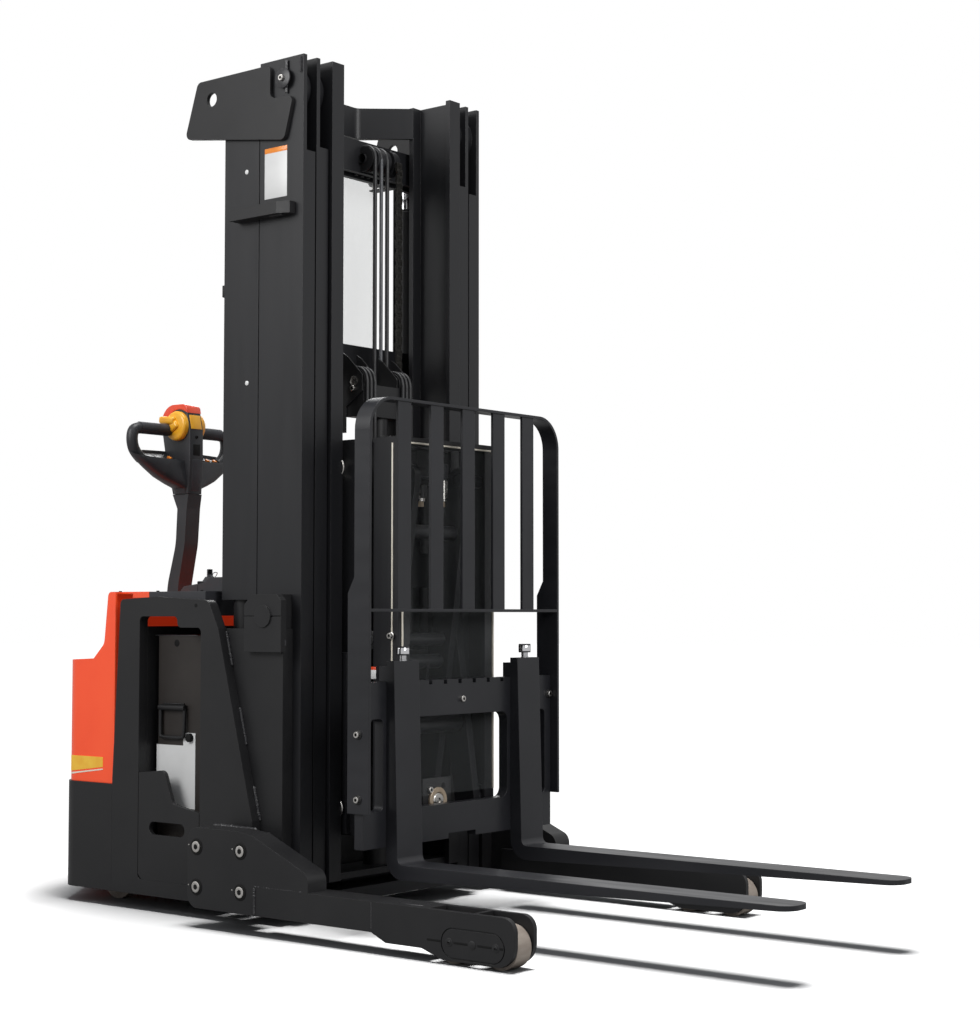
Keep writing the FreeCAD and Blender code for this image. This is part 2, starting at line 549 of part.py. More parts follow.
def fill_sheet():
    names = {}
    for row, (alias, value, meaning) in enumerate(DIMENSIONS, start=1):
        sheet.set("A%d" % row, meaning)
        sheet.set("B%d" % row, "%r" % value)
        sheet.setAlias("B%d" % row, alias)
        names[alias] = Size(value, "Sizes.%s" % alias)
    doc.recompute()
    return SimpleNamespace(**names)


d = fill_sheet()
AXES = {"x": Vector(1, 0, 0), "y": Vector(0, 1, 0), "z": Vector(0, 0, 1)}
TURNS = {"x": Rotation(Vector(0, 1, 0), 90), "y": Rotation(Vector(1, 0, 0), -90), "z": Rotation()}
PLANES = {"x": "YZ_Plane", "y": "XZ_Plane", "z": "XY_Plane"}
TINY = 1e-9
NEAR = 0.01
PARALLEL = 0.999


def bind(thing, prop, size):
    """Set a property to a length and tie it to the sheet."""
    size = as_size(size)
    thing.setExpression(prop, size.text)


def place(thing, x, y, z, turn=None):
    thing.Placement = Placement(
        Vector(as_size(x).value, as_size(y).value, as_size(z).value), turn or Rotation())
    bind(thing, "Placement.Base.x", x)
    bind(thing, "Placement.Base.y", y)
    bind(thing, "Placement.Base.z", z)


def block(label, xs, ys, zs):
    """A plain block between two limits on each axis."""
    thing = doc.addObject("Part::Box", label)
    thing.Label = label
    bind(thing, "Length", xs[1] - as_size(xs[0]))
    bind(thing, "Width", ys[1] - as_size(ys[0]))
    bind(thing, "Height", zs[1] - as_size(zs[0]))
    place(thing, xs[0], ys[0], zs[0])
    return thing


def rod(label, axis, radius, start, end, a, b):
    """A round bar along an axis; a and b are its other two coordinates in X, Y, Z order."""
    thing = doc.addObject("Part::Cylinder", label)
    thing.Label = label
    bind(thing, "Radius", radius)
    bind(thing, "Height", as_size(end) - start)
    spots = {"x": (start, a, b), "y": (a, start, b), "z": (a, b, start)}
    place(thing, *spots[axis], turn=TURNS[axis])
    return thing


def sketch_on(body, plane, outline):
    """A closed outline of corner points, each tied to the sheet."""
    sketch = body.newObject("Sketcher::SketchObject", "Outline")
    origin = [f for f in body.Origin.OriginFeatures if f.Role == PLANES[plane]][0]
    sketch.AttachmentSupport = [(origin, "")]
    sketch.MapMode = "FlatFace"
    corners = [(as_size(u), as_size(v)) for u, v in outline]
    count = len(corners)
    for i in range(count):
        start = corners[i]
        end = corners[(i + 1) % count]
        sketch.addGeometry(Part.LineSegment(
            Vector(start[0].value, start[1].value, 0), Vector(end[0].value, end[1].value, 0)))
    for i in range(count):
        sketch.addConstraint(Sketcher.Constraint("Coincident", i, 2, (i + 1) % count, 1))
    for i, (u, v) in enumerate(corners):
        for kind, size in (("DistanceX", u), ("DistanceY", v)):
            if abs(size.value) < TINY:
                other = Sketcher.Constraint("PointOnObject", i, 1, -2 if kind == "DistanceX" else -1)
                sketch.addConstraint(other)
                continue
            low, high = ((-1, 1), (i, 1))
            if size.value < 0:
                low, high = high, low
            number = sketch.addConstraint(Sketcher.Constraint(kind, *low, *high, abs(size.value)))
            text = size.text if size.value > 0 else "(0 - %s)" % size.text
            sketch.setExpression("Constraints[%d]" % number, text)
    return sketch


def round_corners(body, feature, axis, spots, radius):
    """Round the pad's edges that run along an axis at the given spots."""
    doc.recompute()
    keep = {"x": (1, 2), "y": (0, 2), "z": (0, 1)}[axis]
    names = []
    for number, edge in enumerate(feature.Shape.Edges, start=1):
        if len(edge.Vertexes) != 2:
            continue
        one, two = (vertex.Point for vertex in edge.Vertexes)
        along = (two - one).normalize()
        if abs(along.dot(AXES[axis])) < PARALLEL:
            continue
        for u, v in spots:
            off_u = abs(one[keep[0]] - as_size(u).value)
            off_v = abs(one[keep[1]] - as_size(v).value)
            if off_u < NEAR and off_v < NEAR:
                names.append("Edge%d" % number)
    fillet = body.newObject("PartDesign::Fillet", "Round")
    fillet.Base = (feature, names)
    bind(fillet, "Radius", radius)
    body.Tip = fillet
    doc.recompute()
    return fillet


def plate(label, axis, outline, low, high, rounds=()):
    """A plate cut to an outline, square to an axis, with its corners rounded by groups."""
    body = doc.addObject("PartDesign::Body", label)
    body.Label = label
    sketch = sketch_on(body, axis, outline)
    pad = body.newObject("PartDesign::Pad", "Pad")
    pad.Profile = sketch
    bind(pad, "Length", as_size(high) - low)
    tip = pad
    for radius, spots in rounds:
        tip = round_corners(body, tip, axis, spots, radius)
    starts = {"x": (low, 0, 0), "y": (0, high, 0), "z": (0, 0, low)}
    place(body, *starts[axis])
    return body


def panel(label, axis, us, vs, low, high, radius):
    """A rectangular plate with four rounded corners."""
    corners = [(us[0], vs[0]), (us[1], vs[0]), (us[1], vs[1]), (us[0], vs[1])]
    return plate(label, axis, corners, low, high, [(radius, corners)])


def joined(label, things):
    thing = doc.addObject("Part::MultiFuse", label)
    thing.Label = label
    thing.Shapes = things
    return thing


def cut_from(label, base, tools):
    if len(tools) > 1:
        tool = doc.addObject("Part::MultiFuse", label + "_tools")
        tool.Shapes = tools
    else:
        tool = tools[0]
    thing = doc.addObject("Part::Cut", label)
    thing.Label = label
    thing.Base = base
    thing.Tool = tool
    return thing


def common(label, base, tool):
    thing = doc.addObject("Part::Common", label)
    thing.Label = label
    thing.Base = base
    thing.Tool = tool
    return thing


def mirrored(label, thing):
    """The same piece on the truck's other side."""
    other = doc.addObject("Part::Mirroring", label)
    other.Label = label
    other.Source = thing
    other.Base = Vector(0, 0, 0)
    other.Normal = Vector(0, 1, 0)
    return other


def grouped(label, things):
    """One node that holds several pieces which don't touch."""
    group = doc.addObject("Part::Compound", label)
    group.Label = label
    group.Links = things
    return group


def both_sides(label, thing):
    """One node that holds a piece and its mirror image."""
    return grouped(label, [thing, mirrored(label + "_other", thing)])


def obround(label, low, high, start, end, z, radius):
    """A bar square to Y with round ends, between two ends along X."""
    return joined(label, [
        block(label + "_middle", (start + radius, end - radius), (low, high), (z - radius, z + radius)),
        rod(label + "_start", "y", radius, low, high, start + radius, z),
        rod(label + "_end", "y", radius, low, high, end - radius, z)])


def ahead(size):
    """A place ahead of the mast's front plane."""
    return d.mast_front + size


def behind(size):
    """A place behind the mast's front plane."""
    return d.mast_front - size


nodes = []


def keep(thing):
    nodes.append(thing)
    return thing


# Mast rails: three nested stages of channel section, open towards the centre line.

def channel(name, half, front, depth, foot, front_step):
    """One right-hand rail; its front flange is cut away below the top by front_step."""
    inner = half - d.rail_width
    back = front - depth
    outline = [
        (back, -half), (front, -half), (front, -inner),
        (front - d.flange, -inner), (front - d.flange, -half + d.web),
        (back + d.flange, -half + d.web), (back + d.flange, -inner), (back, -inner)]
    rail = plate(name + "_section", "z", outline, foot, d.rail_top)
    if front_step is None:
        return rail
    notch = block(
        name + "_notch",
        (front - d.flange, front + d.flange),
        (-half + d.web, -inner + d.web),
        (d.rail_top - front_step, d.rail_top + d.flange))
    return cut_from(name + "_rail", rail, [notch])


roller_radius = d.rail_depth / 2 - d.flange - d.roller_play
rail_centre = behind(d.rail_depth / 2)
rail_back = behind(d.rail_depth)
middle_half = d.mast_half - d.rail_width - d.rail_gap
inner_half = middle_half - d.rail_width - d.rail_gap
middle_foot = d.rail_foot + d.stage_step
inner_foot = middle_foot + d.stage_step
inner_depth = d.rail_depth - d.inner_depth_less
inner_front = ahead(d.inner_forward)
inner_back = inner_front - inner_depth


def top_roller(name, half):
    """Roller on the inside of a rail's web, seen where its flange is cut away."""
    face = -half + d.web
    return rod(name, "y", roller_radius, face, face + d.roller_width, rail_centre,
               d.rail_top - d.roller_drop)


def bottom_roller(name, half, foot):
    """Roller on the outside of a stage's web, running in the stage outside it."""
    return rod(name, "y", roller_radius, -half - d.roller_width, -half, rail_centre,
               foot + d.roller_rise)


outer_rail = joined("outer_rail_side", [
    channel("outer", d.mast_half, d.mast_front, d.rail_depth, d.rail_foot, d.flange_step),
    top_roller("outer_roller", d.mast_half)])
keep(both_sides("outer_rails", outer_rail))
middle_rail = joined("middle_rail_side", [
    channel("middle", middle_half, d.mast_front, d.rail_depth, middle_foot, d.middle_flange_step),
    top_roller("middle_roller", middle_half),
    bottom_roller("middle_low_roller", middle_half, middle_foot)])
keep(both_sides("middle_rails", middle_rail))
inner_rail = joined("inner_rail_side", [
    channel("inner", inner_half, inner_front, inner_depth, inner_foot, None),
    bottom_roller("inner_low_roller", inner_half, inner_foot)])
keep(both_sides("inner_rails", inner_rail))

# Cross beams of the outer stage, with the clear guard's brackets.

outer_back = behind(d.outer_beam_back)
guard_back = behind(d.cover_back)
guard_front = guard_back + d.guard_sheet


def guard_bracket(name, foot):
    """A flat bracket from a beam's back face to the clear guard."""
    side = block(
        name, (guard_front + d.seat, outer_back),
        (-d.guard_half + d.bracket_sheet, -d.guard_half + d.bracket_sheet + d.bracket_width),
        (foot, foot + d.bracket_sheet))
    return [side, mirrored(name + "_other", side)]


def outer_beam(name, top, height, bracket_foot):
    """A rear beam bent round the middle stage, from one outer rail to the other."""
    arm = d.mast_half - d.rail_width + d.web
    end = d.mast_half - d.cover_sheet - d.seat
    outline = [
        (outer_back, -end), (rail_back, -end), (rail_back, -arm),
        (outer_back + d.beam_plate, -arm), (outer_back + d.beam_plate, arm), (rail_back, arm),
        (rail_back, end), (outer_back, end)]
    body = plate(name + "_plate", "z", outline, top - height, top)
    return joined(name, [body] + guard_bracket(name + "_bracket", bracket_foot))


upper_bracket = d.outer_beam_top - d.beam_height + d.bracket_sheet
low_bracket = d.guard_foot + d.bracket_sheet
foot_tie = block(
    "foot_tie", (rail_back - d.beam_plate * 2, behind(d.flange)), (-d.mast_half, d.mast_half),
    (d.rail_foot - d.foot_plate, d.rail_foot))
keep(grouped("outer_crossbeams", [
    outer_beam("upper_beam", d.outer_beam_top, d.beam_height, upper_bracket),
    outer_beam("second_beam", d.low_beam_top, d.low_beam_height, low_bracket),
    foot_tie]))

# Middle stage: upper beam with the rod heads, chain wheels and hose wheel, and a lower beam.

head_top = d.middle_beam_top + d.head_plate
rod_head = rod(
    "rod_head", "z", d.lift_barrel, d.middle_beam_top, head_top, behind(d.lift_back), -d.lift_half)
rod_arm = block(
    "rod_arm", (behind(d.lift_back), rail_back), (-d.lift_half - d.beam_plate, -middle_half + d.web),
    (d.middle_beam_top, head_top))
middle_beam = block(
    "middle_beam", (rail_back - d.beam_plate, rail_back), (-middle_half, middle_half),
    (d.middle_beam_top - d.beam_height, d.middle_beam_top))
beam_end = block(
    "beam_end", (rail_back - d.beam_plate, rail_back), (-middle_half, -middle_half + d.rail_width),
    (d.middle_beam_top - d.beam_height, head_top))
low_middle_beam = block(
    "low_middle_beam", (rail_back - d.beam_plate, rail_back), (-middle_half, middle_half),
    (middle_foot, middle_foot + d.low_beam_height))
wheel_x = behind(d.sheave_behind)
wheel_z = d.middle_beam_top - d.sheave_drop
chain_inner = d.sheave_half - d.chain_width / 2
chain_outer = d.sheave_half + d.chain_width / 2
sheave = rod("sheave", "y", d.sheave_radius, -chain_outer, -chain_inner, wheel_x, wheel_z)
hose_wheel = rod(
    "hose_wheel", "y", d.hose_wheel_radius, d.hose_wheel_near, d.hose_wheel_near + d.hose_wheel_width,
    wheel_x, wheel_z)
head_side = joined("rod_heads", [rod_head, rod_arm, beam_end])
upper_middle = joined("upper_middle", [
    middle_beam, head_side, mirrored("other_rod_heads", head_side),
    sheave, mirrored("other_sheave", sheave), hose_wheel])
keep(grouped("middle_crossbeams", [upper_middle, low_middle_beam]))

# Inner stage: a beam bent back behind the rails, and a low beam that carries the chains.

inner_face = inner_half - d.web
inner_edge = inner_half - d.rail_width
bent_front = behind(d.bent_beam_back)
bent_back = bent_front - d.beam_plate
bent_inner = d.bent_beam_flat - d.web
bent_top = d.rail_top - d.bent_beam_drop
bent = plate("bent_beam", "z", [
    (bent_back, -d.bent_beam_flat), (inner_back, -inner_edge), (inner_back + d.flange, -inner_edge),
    (bent_front, -bent_inner), (bent_front, bent_inner), (inner_back + d.flange, inner_edge),
    (inner_back, inner_edge), (bent_back, d.bent_beam_flat)],
    bent_top - d.bent_beam_height, bent_top, [
        (d.bend_round, [(bent_back, -d.bent_beam_flat), (bent_back, d.bent_beam_flat)]),
        (d.bend_round - d.beam_plate, [(bent_front, -bent_inner), (bent_front, bent_inner)])])
inner_low = block(
    "inner_low_beam", (inner_back + d.flange, inner_front - d.flange),
    (-inner_face, inner_face), (inner_foot, inner_foot + d.beam_plate))
keep(grouped("inner_crossbeams", [bent, inner_low]))

# Mast lift cylinders behind the outer rails.

bore_top = d.lift_barrel_top + d.over
barrel = cut_from("lift_barrel_side", rod(
    "lift_barrel_solid", "z", d.lift_barrel, d.rail_foot, d.lift_barrel_top,
    behind(d.lift_back), -d.lift_half), [rod(
        "lift_barrel_bore", "z", d.lift_bore, d.rail_foot + d.foot_plate, bore_top,
        behind(d.lift_back), -d.lift_half)])
keep(both_sides("lift_cylinders", barrel))
keep(both_sides("lift_rods", rod(
    "lift_rod_side", "z", d.lift_rod, d.rail_foot + d.foot_plate * 2, d.middle_beam_top,
    behind(d.lift_back), -d.lift_half)))

# Mast side covers, clear guard, lifting lugs, side bars and rail clamps.

cover = plate("cover_side", "z", [
    (guard_back, -d.mast_half), (rail_back - d.cover_seam, -d.mast_half),
    (rail_back - d.cover_seam, -d.mast_half + d.cover_sheet),
    (guard_back + d.cover_sheet, -d.mast_half + d.cover_sheet),
    (guard_back + d.cover_sheet, -d.mast_half + d.rail_width),
    (guard_back, -d.mast_half + d.rail_width)], d.cover_foot, d.cover_crest)
keep(both_sides("mast_covers", cover))
keep(block(
    "mast_guard", (guard_back, guard_front), (-d.guard_half, d.guard_half), (d.guard_foot, d.guard_top)))

lug_face = -d.mast_half - d.lug_plate
lug_corners = [
    (behind(d.lug_rear), d.lug_rear_low), (behind(d.lug_front_low), d.lug_low),
    (behind(d.lug_front), d.lug_step_z), (behind(d.lug_step), d.lug_step_z),
    (behind(d.lug_step), d.lug_top), (behind(d.lug_rear_top), d.lug_top)]
lug_body = plate("lug_side", "y", lug_corners, lug_face, -d.mast_half, [(d.lug_round, lug_corners)])
lug_cut = cut_from("lug_cut", lug_body, [rod(
    "lug_hole", "y", d.lug_hole_radius, lug_face - d.over, -d.mast_half + d.over,
    behind(d.lug_hole_back), d.lug_hole_z)])
keep(both_sides("lifting_lugs", lug_cut))

bar_face = -d.mast_half - d.bar_out
side_bar = plate("side_bar", "z", [
    (behind(d.bar_rear), -d.mast_half), (behind(d.bar_rear), bar_face), (behind(d.bar_bend), bar_face),
    (behind(d.bar_front), bar_face + d.bar_taper), (behind(d.bar_front), -d.mast_half)],
    d.bar_foot, d.bar_foot + d.bar_height)
keep(both_sides("side_bars", side_bar))

gusset_half = d.frame_half - d.frame_plate
clamp_top = d.clamp_foot + d.clamp_height
clamp_face = -gusset_half - d.clamp_out
clamp_plate = plate("clamp_plate", "y", [
    (behind(d.clamp_back), d.clamp_foot), (behind(d.clamp_front), d.clamp_foot),
    (behind(d.clamp_front), clamp_top - d.clamp_nose), (behind(d.clamp_front + d.clamp_nose), clamp_top),
    (behind(d.clamp_back - d.clamp_cut), clamp_top), (behind(d.clamp_back), clamp_top - d.clamp_cut)],
    clamp_face, -gusset_half)
clamp_inner = block(
    "clamp_inner", (behind(d.clamp_back - d.clamp_cut), behind(d.clamp_front + d.clamp_nose)),
    (-gusset_half, -d.mast_half), (d.gusset_top, clamp_top))
clamp_boss = rod(
    "clamp_boss", "y", d.clamp_boss, clamp_face - d.clamp_boss_out, clamp_face,
    behind(d.clamp_boss_behind), d.clamp_boss_z)
clamp_split = block(
    "clamp_split", (behind(d.clamp_back + d.over), behind(d.clamp_front - d.over)),
    (clamp_face - d.over, clamp_face + d.clamp_split),
    (d.clamp_boss_z - d.clamp_split / 2, d.clamp_boss_z + d.clamp_split / 2))
keep(both_sides("rail_clamps", joined("clamp_side", [
    cut_from("clamp_body", joined("clamp_whole", [clamp_plate, clamp_inner]), [clamp_split]),
    clamp_boss])))

# Chassis: side frames with the battery window, mast gussets, bay walls and deck.

frame_inner = -d.frame_half + d.frame_plate
shoulder = (behind(d.frame_shoulder_behind), d.frame_shoulder)
frame_solid = plate("side_frame_solid", "y", [
    (behind(d.frame_rear), d.frame_foot), (behind(d.frame_rear), d.frame_hip),
    (behind(d.frame_rear - d.frame_lean), d.frame_rear_top),
    (behind(d.frame_peak_behind), d.frame_peak), shoulder,
    (behind(d.frame_waist_behind), d.frame_waist), (behind(d.frame_toe_behind), d.frame_toe),
    (behind(d.frame_toe_behind), d.frame_foot)], -d.frame_half, frame_inner, [
        (d.window_round, [(behind(d.frame_rear - d.frame_lean), d.frame_rear_top)]),
        (d.frame_round, [shoulder])])
window_corners = [
    (behind(d.window_back), d.window_sill), (behind(d.window_back), d.window_top),
    (behind(d.window_step), d.window_top), (behind(d.window_step), d.window_low_top),
    (behind(d.window_front), d.window_low_top), (behind(d.window_front), d.window_sill)]
window = plate(
    "battery_window", "y", window_corners, -d.frame_half - d.over, frame_inner + d.over,
    [(d.window_round, window_corners)])
right_frame = cut_from("side_frame_right", frame_solid, [window])
keep(right_frame)
keep(mirrored("side_frame_left", right_frame))

keep(both_sides("mast_gussets", block(
    "gusset_side", (behind(d.gusset_back), behind(d.gusset_front)), (-gusset_half, -d.mast_half),
    (d.gusset_foot, d.gusset_top))))

bay_back = behind(d.window_back)
bay_front = behind(d.window_front)
bay_foot = d.battery_foot - d.deck_plate
deck_top = d.deck_z + d.deck_plate
base_solid = joined("base_frame_solid", [
    block("bay_floor", (bay_back - d.bulkhead, bay_front), (-gusset_half, gusset_half),
          (bay_foot, d.battery_foot)),
    block("bay_back_wall", (bay_back - d.bulkhead, bay_back), (-gusset_half, gusset_half),
          (bay_foot, d.bay_top)),
    block("bay_front_wall", (bay_front, bay_front + d.front_wall), (-gusset_half, gusset_half),
          (d.rail_foot - d.foot_plate, d.bay_top)),
    block("machine_deck", (behind(d.deck_back), bay_back - d.bulkhead), (-gusset_half, gusset_half),
          (d.deck_z, deck_top)),
    block("tail_deck", (behind(d.tail_deck_back), behind(d.deck_back - d.over)),
          (-d.tail_deck_half, d.tail_deck_half), (d.deck_z, deck_top))])
drive_x = behind(d.drive_back)
keep(cut_from("base_frame", base_solid, [rod(
    "turret_hole", "z", d.turret_hole, d.deck_z - d.over, deck_top + d.over, drive_x, 0)]))

keep(block(
    "battery", (bay_front - d.battery_width - d.battery_gap, bay_front - d.battery_gap),
    (-d.battery_length / 2, d.battery_length / 2),
    (d.battery_foot, d.battery_foot + d.battery_height)))

gate_back = behind(d.window_back) + d.gate_play
gate_front = behind(d.window_front) - d.gate_play
gate_peak = (behind(d.gate_peak_behind), d.gate_peak)
gate_dip = (behind(d.gate_dip_behind), d.gate_dip)
gate_foot = d.window_sill + d.window_round
gate = plate("gate_side", "y", [
    (gate_back, gate_foot), (gate_back, d.gate_top), gate_peak, gate_dip,
    (gate_front, d.gate_front_top), (gate_front, gate_foot),
    (gate_front - d.window_round, d.window_sill + d.seat),
    (gate_back + d.window_round, d.window_sill + d.seat)],
    -d.frame_half, -d.frame_half + d.gate_plate, [(d.gate_round, [gate_peak, gate_dip])])
gate_slot = obround(
    "gate_slot", -d.frame_half - d.over, -d.frame_half + d.gate_plate + d.over,
    behind(d.slot_back), behind(d.slot_front), d.slot_foot + d.slot_height / 2, d.slot_height / 2)
keep(both_sides("battery_gates", cut_from("gate_cut", gate, [gate_slot])))

# Rear body: skirt, hood, grey lid, console and emergency button.


def tail_form(name, inset, low, high, front):
    """Plan of the rear body as a solid: flat sides, slanted corners and a flat tail."""
    side = d.frame_half - inset
    flank = behind(d.skirt_side) + inset / 2
    tail = behind(d.tail_back) + inset
    near = [(flank, -side), (flank, side)]
    far = [(tail, -d.tail_half), (tail, d.tail_half)]
    return plate(name, "z", [
        (front, -side), near[0], far[0], far[1], near[1], (front, side)], low, high, [
            (d.tail_side_round - inset, near), (d.tail_round - inset, far)])


body_front = behind(d.frame_rear) - d.seat
open_front = body_front + d.frame_plate * 2
skirt_outer = tail_form("skirt_outer", as_size(0), d.frame_foot, d.skirt_top, body_front)
skirt_inner = tail_form(
    "skirt_inner", d.skirt_sheet, d.frame_foot - d.over, d.skirt_top + d.over, open_front)
keep(cut_from("rear_skirt", skirt_outer, [skirt_inner]))


def hood_profile(name, wall, foot):
    """Side view of the tail of the hood, set in by a wall."""
    back_of_shoulder = (behind(d.hood_rear_behind) + wall, d.hood_shoulder - wall)
    ledge = (behind(d.hood_ledge_behind), d.hood_ledge - wall)
    riser = (behind(d.hood_riser_behind) + wall, d.hood_riser)
    crest = (behind(d.hood_crest_behind) + wall, d.hood_top - wall)
    return plate(name, "y", [
        (behind(d.hood_foot_behind), foot), back_of_shoulder, ledge, riser, crest,
        (behind(d.hood_front_behind) + wall * 3, d.hood_top - wall),
        (behind(d.hood_front_low_behind) + wall * 3, foot)], -d.frame_half, d.frame_half, [
            (d.hood_shoulder_round - wall, [back_of_shoulder]),
            (d.hood_ledge_round + wall, [riser]),
            (d.hood_crest_round - wall, [crest])])


hood_high = d.hood_top + d.hood_wall
hood_tail = common(
    "hood_tail", tail_form("hood_plan", d.hood_gap, d.skirt_top, hood_high, body_front),
    hood_profile("hood_side", as_size(0), d.skirt_top))
space_foot = d.skirt_top - d.over
hood_space = common(
    "hood_space",
    tail_form("hood_space_plan", d.hood_gap + d.hood_wall, space_foot, hood_high + d.over, open_front),
    hood_profile("hood_space_side", d.hood_wall, space_foot))
crown_half = gusset_half - d.seat
hood_crown = block(
    "hood_crown", (behind(d.crown_back), behind(d.crown_front)), (-crown_half, crown_half),
    (d.hood_top - d.hood_wall * 3, d.hood_top))
column_hole = rod(
    "column_hole", "z", d.well_radius, d.well_foot, d.hood_riser, drive_x, 0)
keep(cut_from("hood", joined("hood_solid", [hood_tail, hood_crown]), [hood_space, column_hole]))

lid_top = d.hood_top - d.lid_gap
keep(block(
    "top_cover", (behind(d.crown_front) + d.lid_gap, behind(d.lid_front)), (-crown_half, crown_half),
    (d.lid_foot, lid_top)))
console_corner = (behind(d.console_front_top), d.console_top)
keep(plate("console", "y", [
    (behind(d.console_back), d.hood_top), (behind(d.console_lip_behind), d.console_lip),
    (behind(d.console_ramp_behind), d.console_ramp), (behind(d.console_rise_behind), d.console_top),
    console_corner, (behind(d.console_front), d.hood_top)],
    -d.console_half, d.console_half, [(d.console_round, [console_corner])]))
keep(rod(
    "emergency_button", "z", d.button_radius, d.console_top + d.seat, d.console_top + d.button_height,
    behind(d.button_behind), -d.button_side))

# Straddle legs with their wheel housings, load wheels and bogies.

leg_half = d.frame_half + d.leg_stand + d.leg_plate
leg_inner = leg_half - d.leg_width
rear_low = (behind(d.leg_rear), d.leg_foot)
rear_high = (behind(d.leg_rear), d.leg_crest)
nose = (ahead(d.leg_nose), d.leg_slope_foot)
leg_plate_body = plate("leg_plate_side", "y", [
    rear_low, (ahead(d.leg_nose), d.leg_foot), nose, (d.mast_front, d.leg_slope_top),
    (behind(d.leg_crest_behind), d.leg_crest), rear_high],
    -leg_half, -leg_half + d.leg_plate,
    [(d.leg_corner, [rear_low, rear_high]), (d.leg_nose_round, [nose])])
leg_pad = block(
    "leg_pad", (behind(d.pad_back), behind(d.pad_front)), (-leg_half + d.leg_plate, -d.frame_half),
    (d.pad_foot, d.pad_top))
leg_beam = block(
    "leg_beam", (ahead(d.leg_beam_back), ahead(d.housing_back + d.over)), (-leg_half, -leg_inner),
    (d.leg_foot, d.leg_top))
belly_end = (ahead(d.housing_belly_front), d.housing_belly)
foot_start = (ahead(d.housing_foot_back), d.housing_foot)
toe = (ahead(d.housing_front), d.housing_foot)
brow = (ahead(d.housing_front), d.leg_top)
housing = plate("wheel_housing", "y", [
    (ahead(d.housing_back), d.leg_foot), (ahead(d.housing_belly_back), d.housing_belly),
    belly_end, foot_start, toe, brow, (ahead(d.housing_back), d.leg_top)], -leg_half, -leg_inner, [
        (d.housing_bend_round, [belly_end, foot_start]),
        (d.housing_foot_round, [toe]), (d.housing_top_round, [brow])])
wheel_outer = -leg_half + d.leg_wall
wheel_inner = -leg_inner - d.leg_wall
well = block(
    "wheel_well", (ahead(d.well_back), ahead(d.housing_front + d.over)), (wheel_outer, wheel_inner),
    (0, d.leg_top + d.over))
well_web = block(
    "well_web", (ahead(d.web_ahead), ahead(d.web_ahead + d.web_sheet)), (wheel_outer, wheel_inner),
    (d.web_foot, d.leg_top))
groove = cut_from("cap_groove", obround(
    "cap_opening", -leg_half - d.over, -leg_half + d.cap_groove,
    ahead(d.cap_back - d.cap_groove), ahead(d.cap_front + d.cap_groove), d.cap_z,
    d.cap_round + d.cap_groove), [obround(
        "cap", -leg_half - d.over * 2, -leg_half + d.cap_groove + d.over,
        ahead(d.cap_back), ahead(d.cap_front), d.cap_z, d.cap_round)])
leg = joined("outrigger_right", [
    cut_from("leg_side", joined("leg_solid", [leg_plate_body, leg_pad, leg_beam, housing]), [well, groove]),
    well_web])
keep(leg)
keep(mirrored("outrigger_left", leg))

axle_z = d.load_radius
keep(both_sides("bogies", joined("bogie_side", [
    rod("axle_first", "y", d.load_axle, wheel_outer, wheel_inner, ahead(d.load_first), axle_z),
    rod("axle_second", "y", d.load_axle, wheel_outer, wheel_inner, ahead(d.load_second), axle_z),
    block("bogie_bar", (ahead(d.load_first), ahead(d.load_second)),
          (wheel_outer, wheel_outer + d.bogie_bar),
          (axle_z - d.bogie_height / 2, axle_z + d.bogie_height / 2))])))


def wheel(name, radius, width, bore, x, y):
    """A wheel with its axle's bore, standing on the floor."""
    low = y - width / 2
    high = y + width / 2
    return cut_from(name, rod(name + "_tyre", "y", radius, low, high, x, radius), [
        rod(name + "_bore", "y", bore, low - d.over, high + d.over, x, radius)])


load_bore = d.load_axle + d.bore_play
for side, side_name in ((-1, "right"), (1, "left")):
    axis_y = side * (leg_half - d.leg_width / 2)
    keep(wheel("load_wheel_front_" + side_name, d.load_radius, d.load_width, load_bore,
               ahead(d.load_second), axis_y))
    keep(wheel("load_wheel_rear_" + side_name, d.load_radius, d.load_width, load_bore,
               ahead(d.load_first), axis_y))

# Drive unit, its wheel and the casters.

ear_inner = d.yoke_half - d.yoke_ear
keep(joined("drive_unit", [
    rod("turret", "z", d.turret_radius, d.deck_z - d.caster_play, d.turret_top, drive_x, 0),
    rod("slewing_ring", "z", d.slew_radius, deck_top + d.seat, deck_top + d.seat + d.slew_height,
        drive_x, 0),
    block("gear_case", (drive_x - d.gear_half, drive_x + d.gear_half),
          (d.yoke_half, d.yoke_half + d.gear_width), (d.gear_foot, d.deck_z - d.over)),
    rod("wheel_shaft", "y", d.drive_shaft, -d.drive_width / 4, d.yoke_half + d.gear_width / 2,
        drive_x, d.drive_radius),
    block("drive_motor", (drive_x - d.motor_half, drive_x + d.motor_half),
          (-d.motor_half, d.motor_half), (d.turret_top, d.motor_top)),
    rod("steer_column", "z", d.column_radius, d.motor_top, d.yoke_foot + d.over, drive_x, 0),
    block("yoke_base", (drive_x - d.yoke_length / 2, drive_x + d.yoke_length / 2),
          (-d.yoke_half, d.yoke_half), (d.yoke_foot, d.yoke_foot + d.yoke_base)),
    block("yoke_right", (drive_x - d.yoke_length / 2, drive_x + d.yoke_length / 2),
          (-d.yoke_half, -ear_inner), (d.yoke_foot, d.yoke_top)),
    block("yoke_left", (drive_x - d.yoke_length / 2, drive_x + d.yoke_length / 2),
          (ear_inner, d.yoke_half), (d.yoke_foot, d.yoke_top)),
    rod("tiller_pin", "y", d.tiller_pin, -d.yoke_half, d.yoke_half, drive_x, d.tiller_pivot)]))
keep(wheel("drive_wheel", d.drive_radius, d.drive_width, d.drive_shaft + d.bore_play, drive_x, as_size(0)))

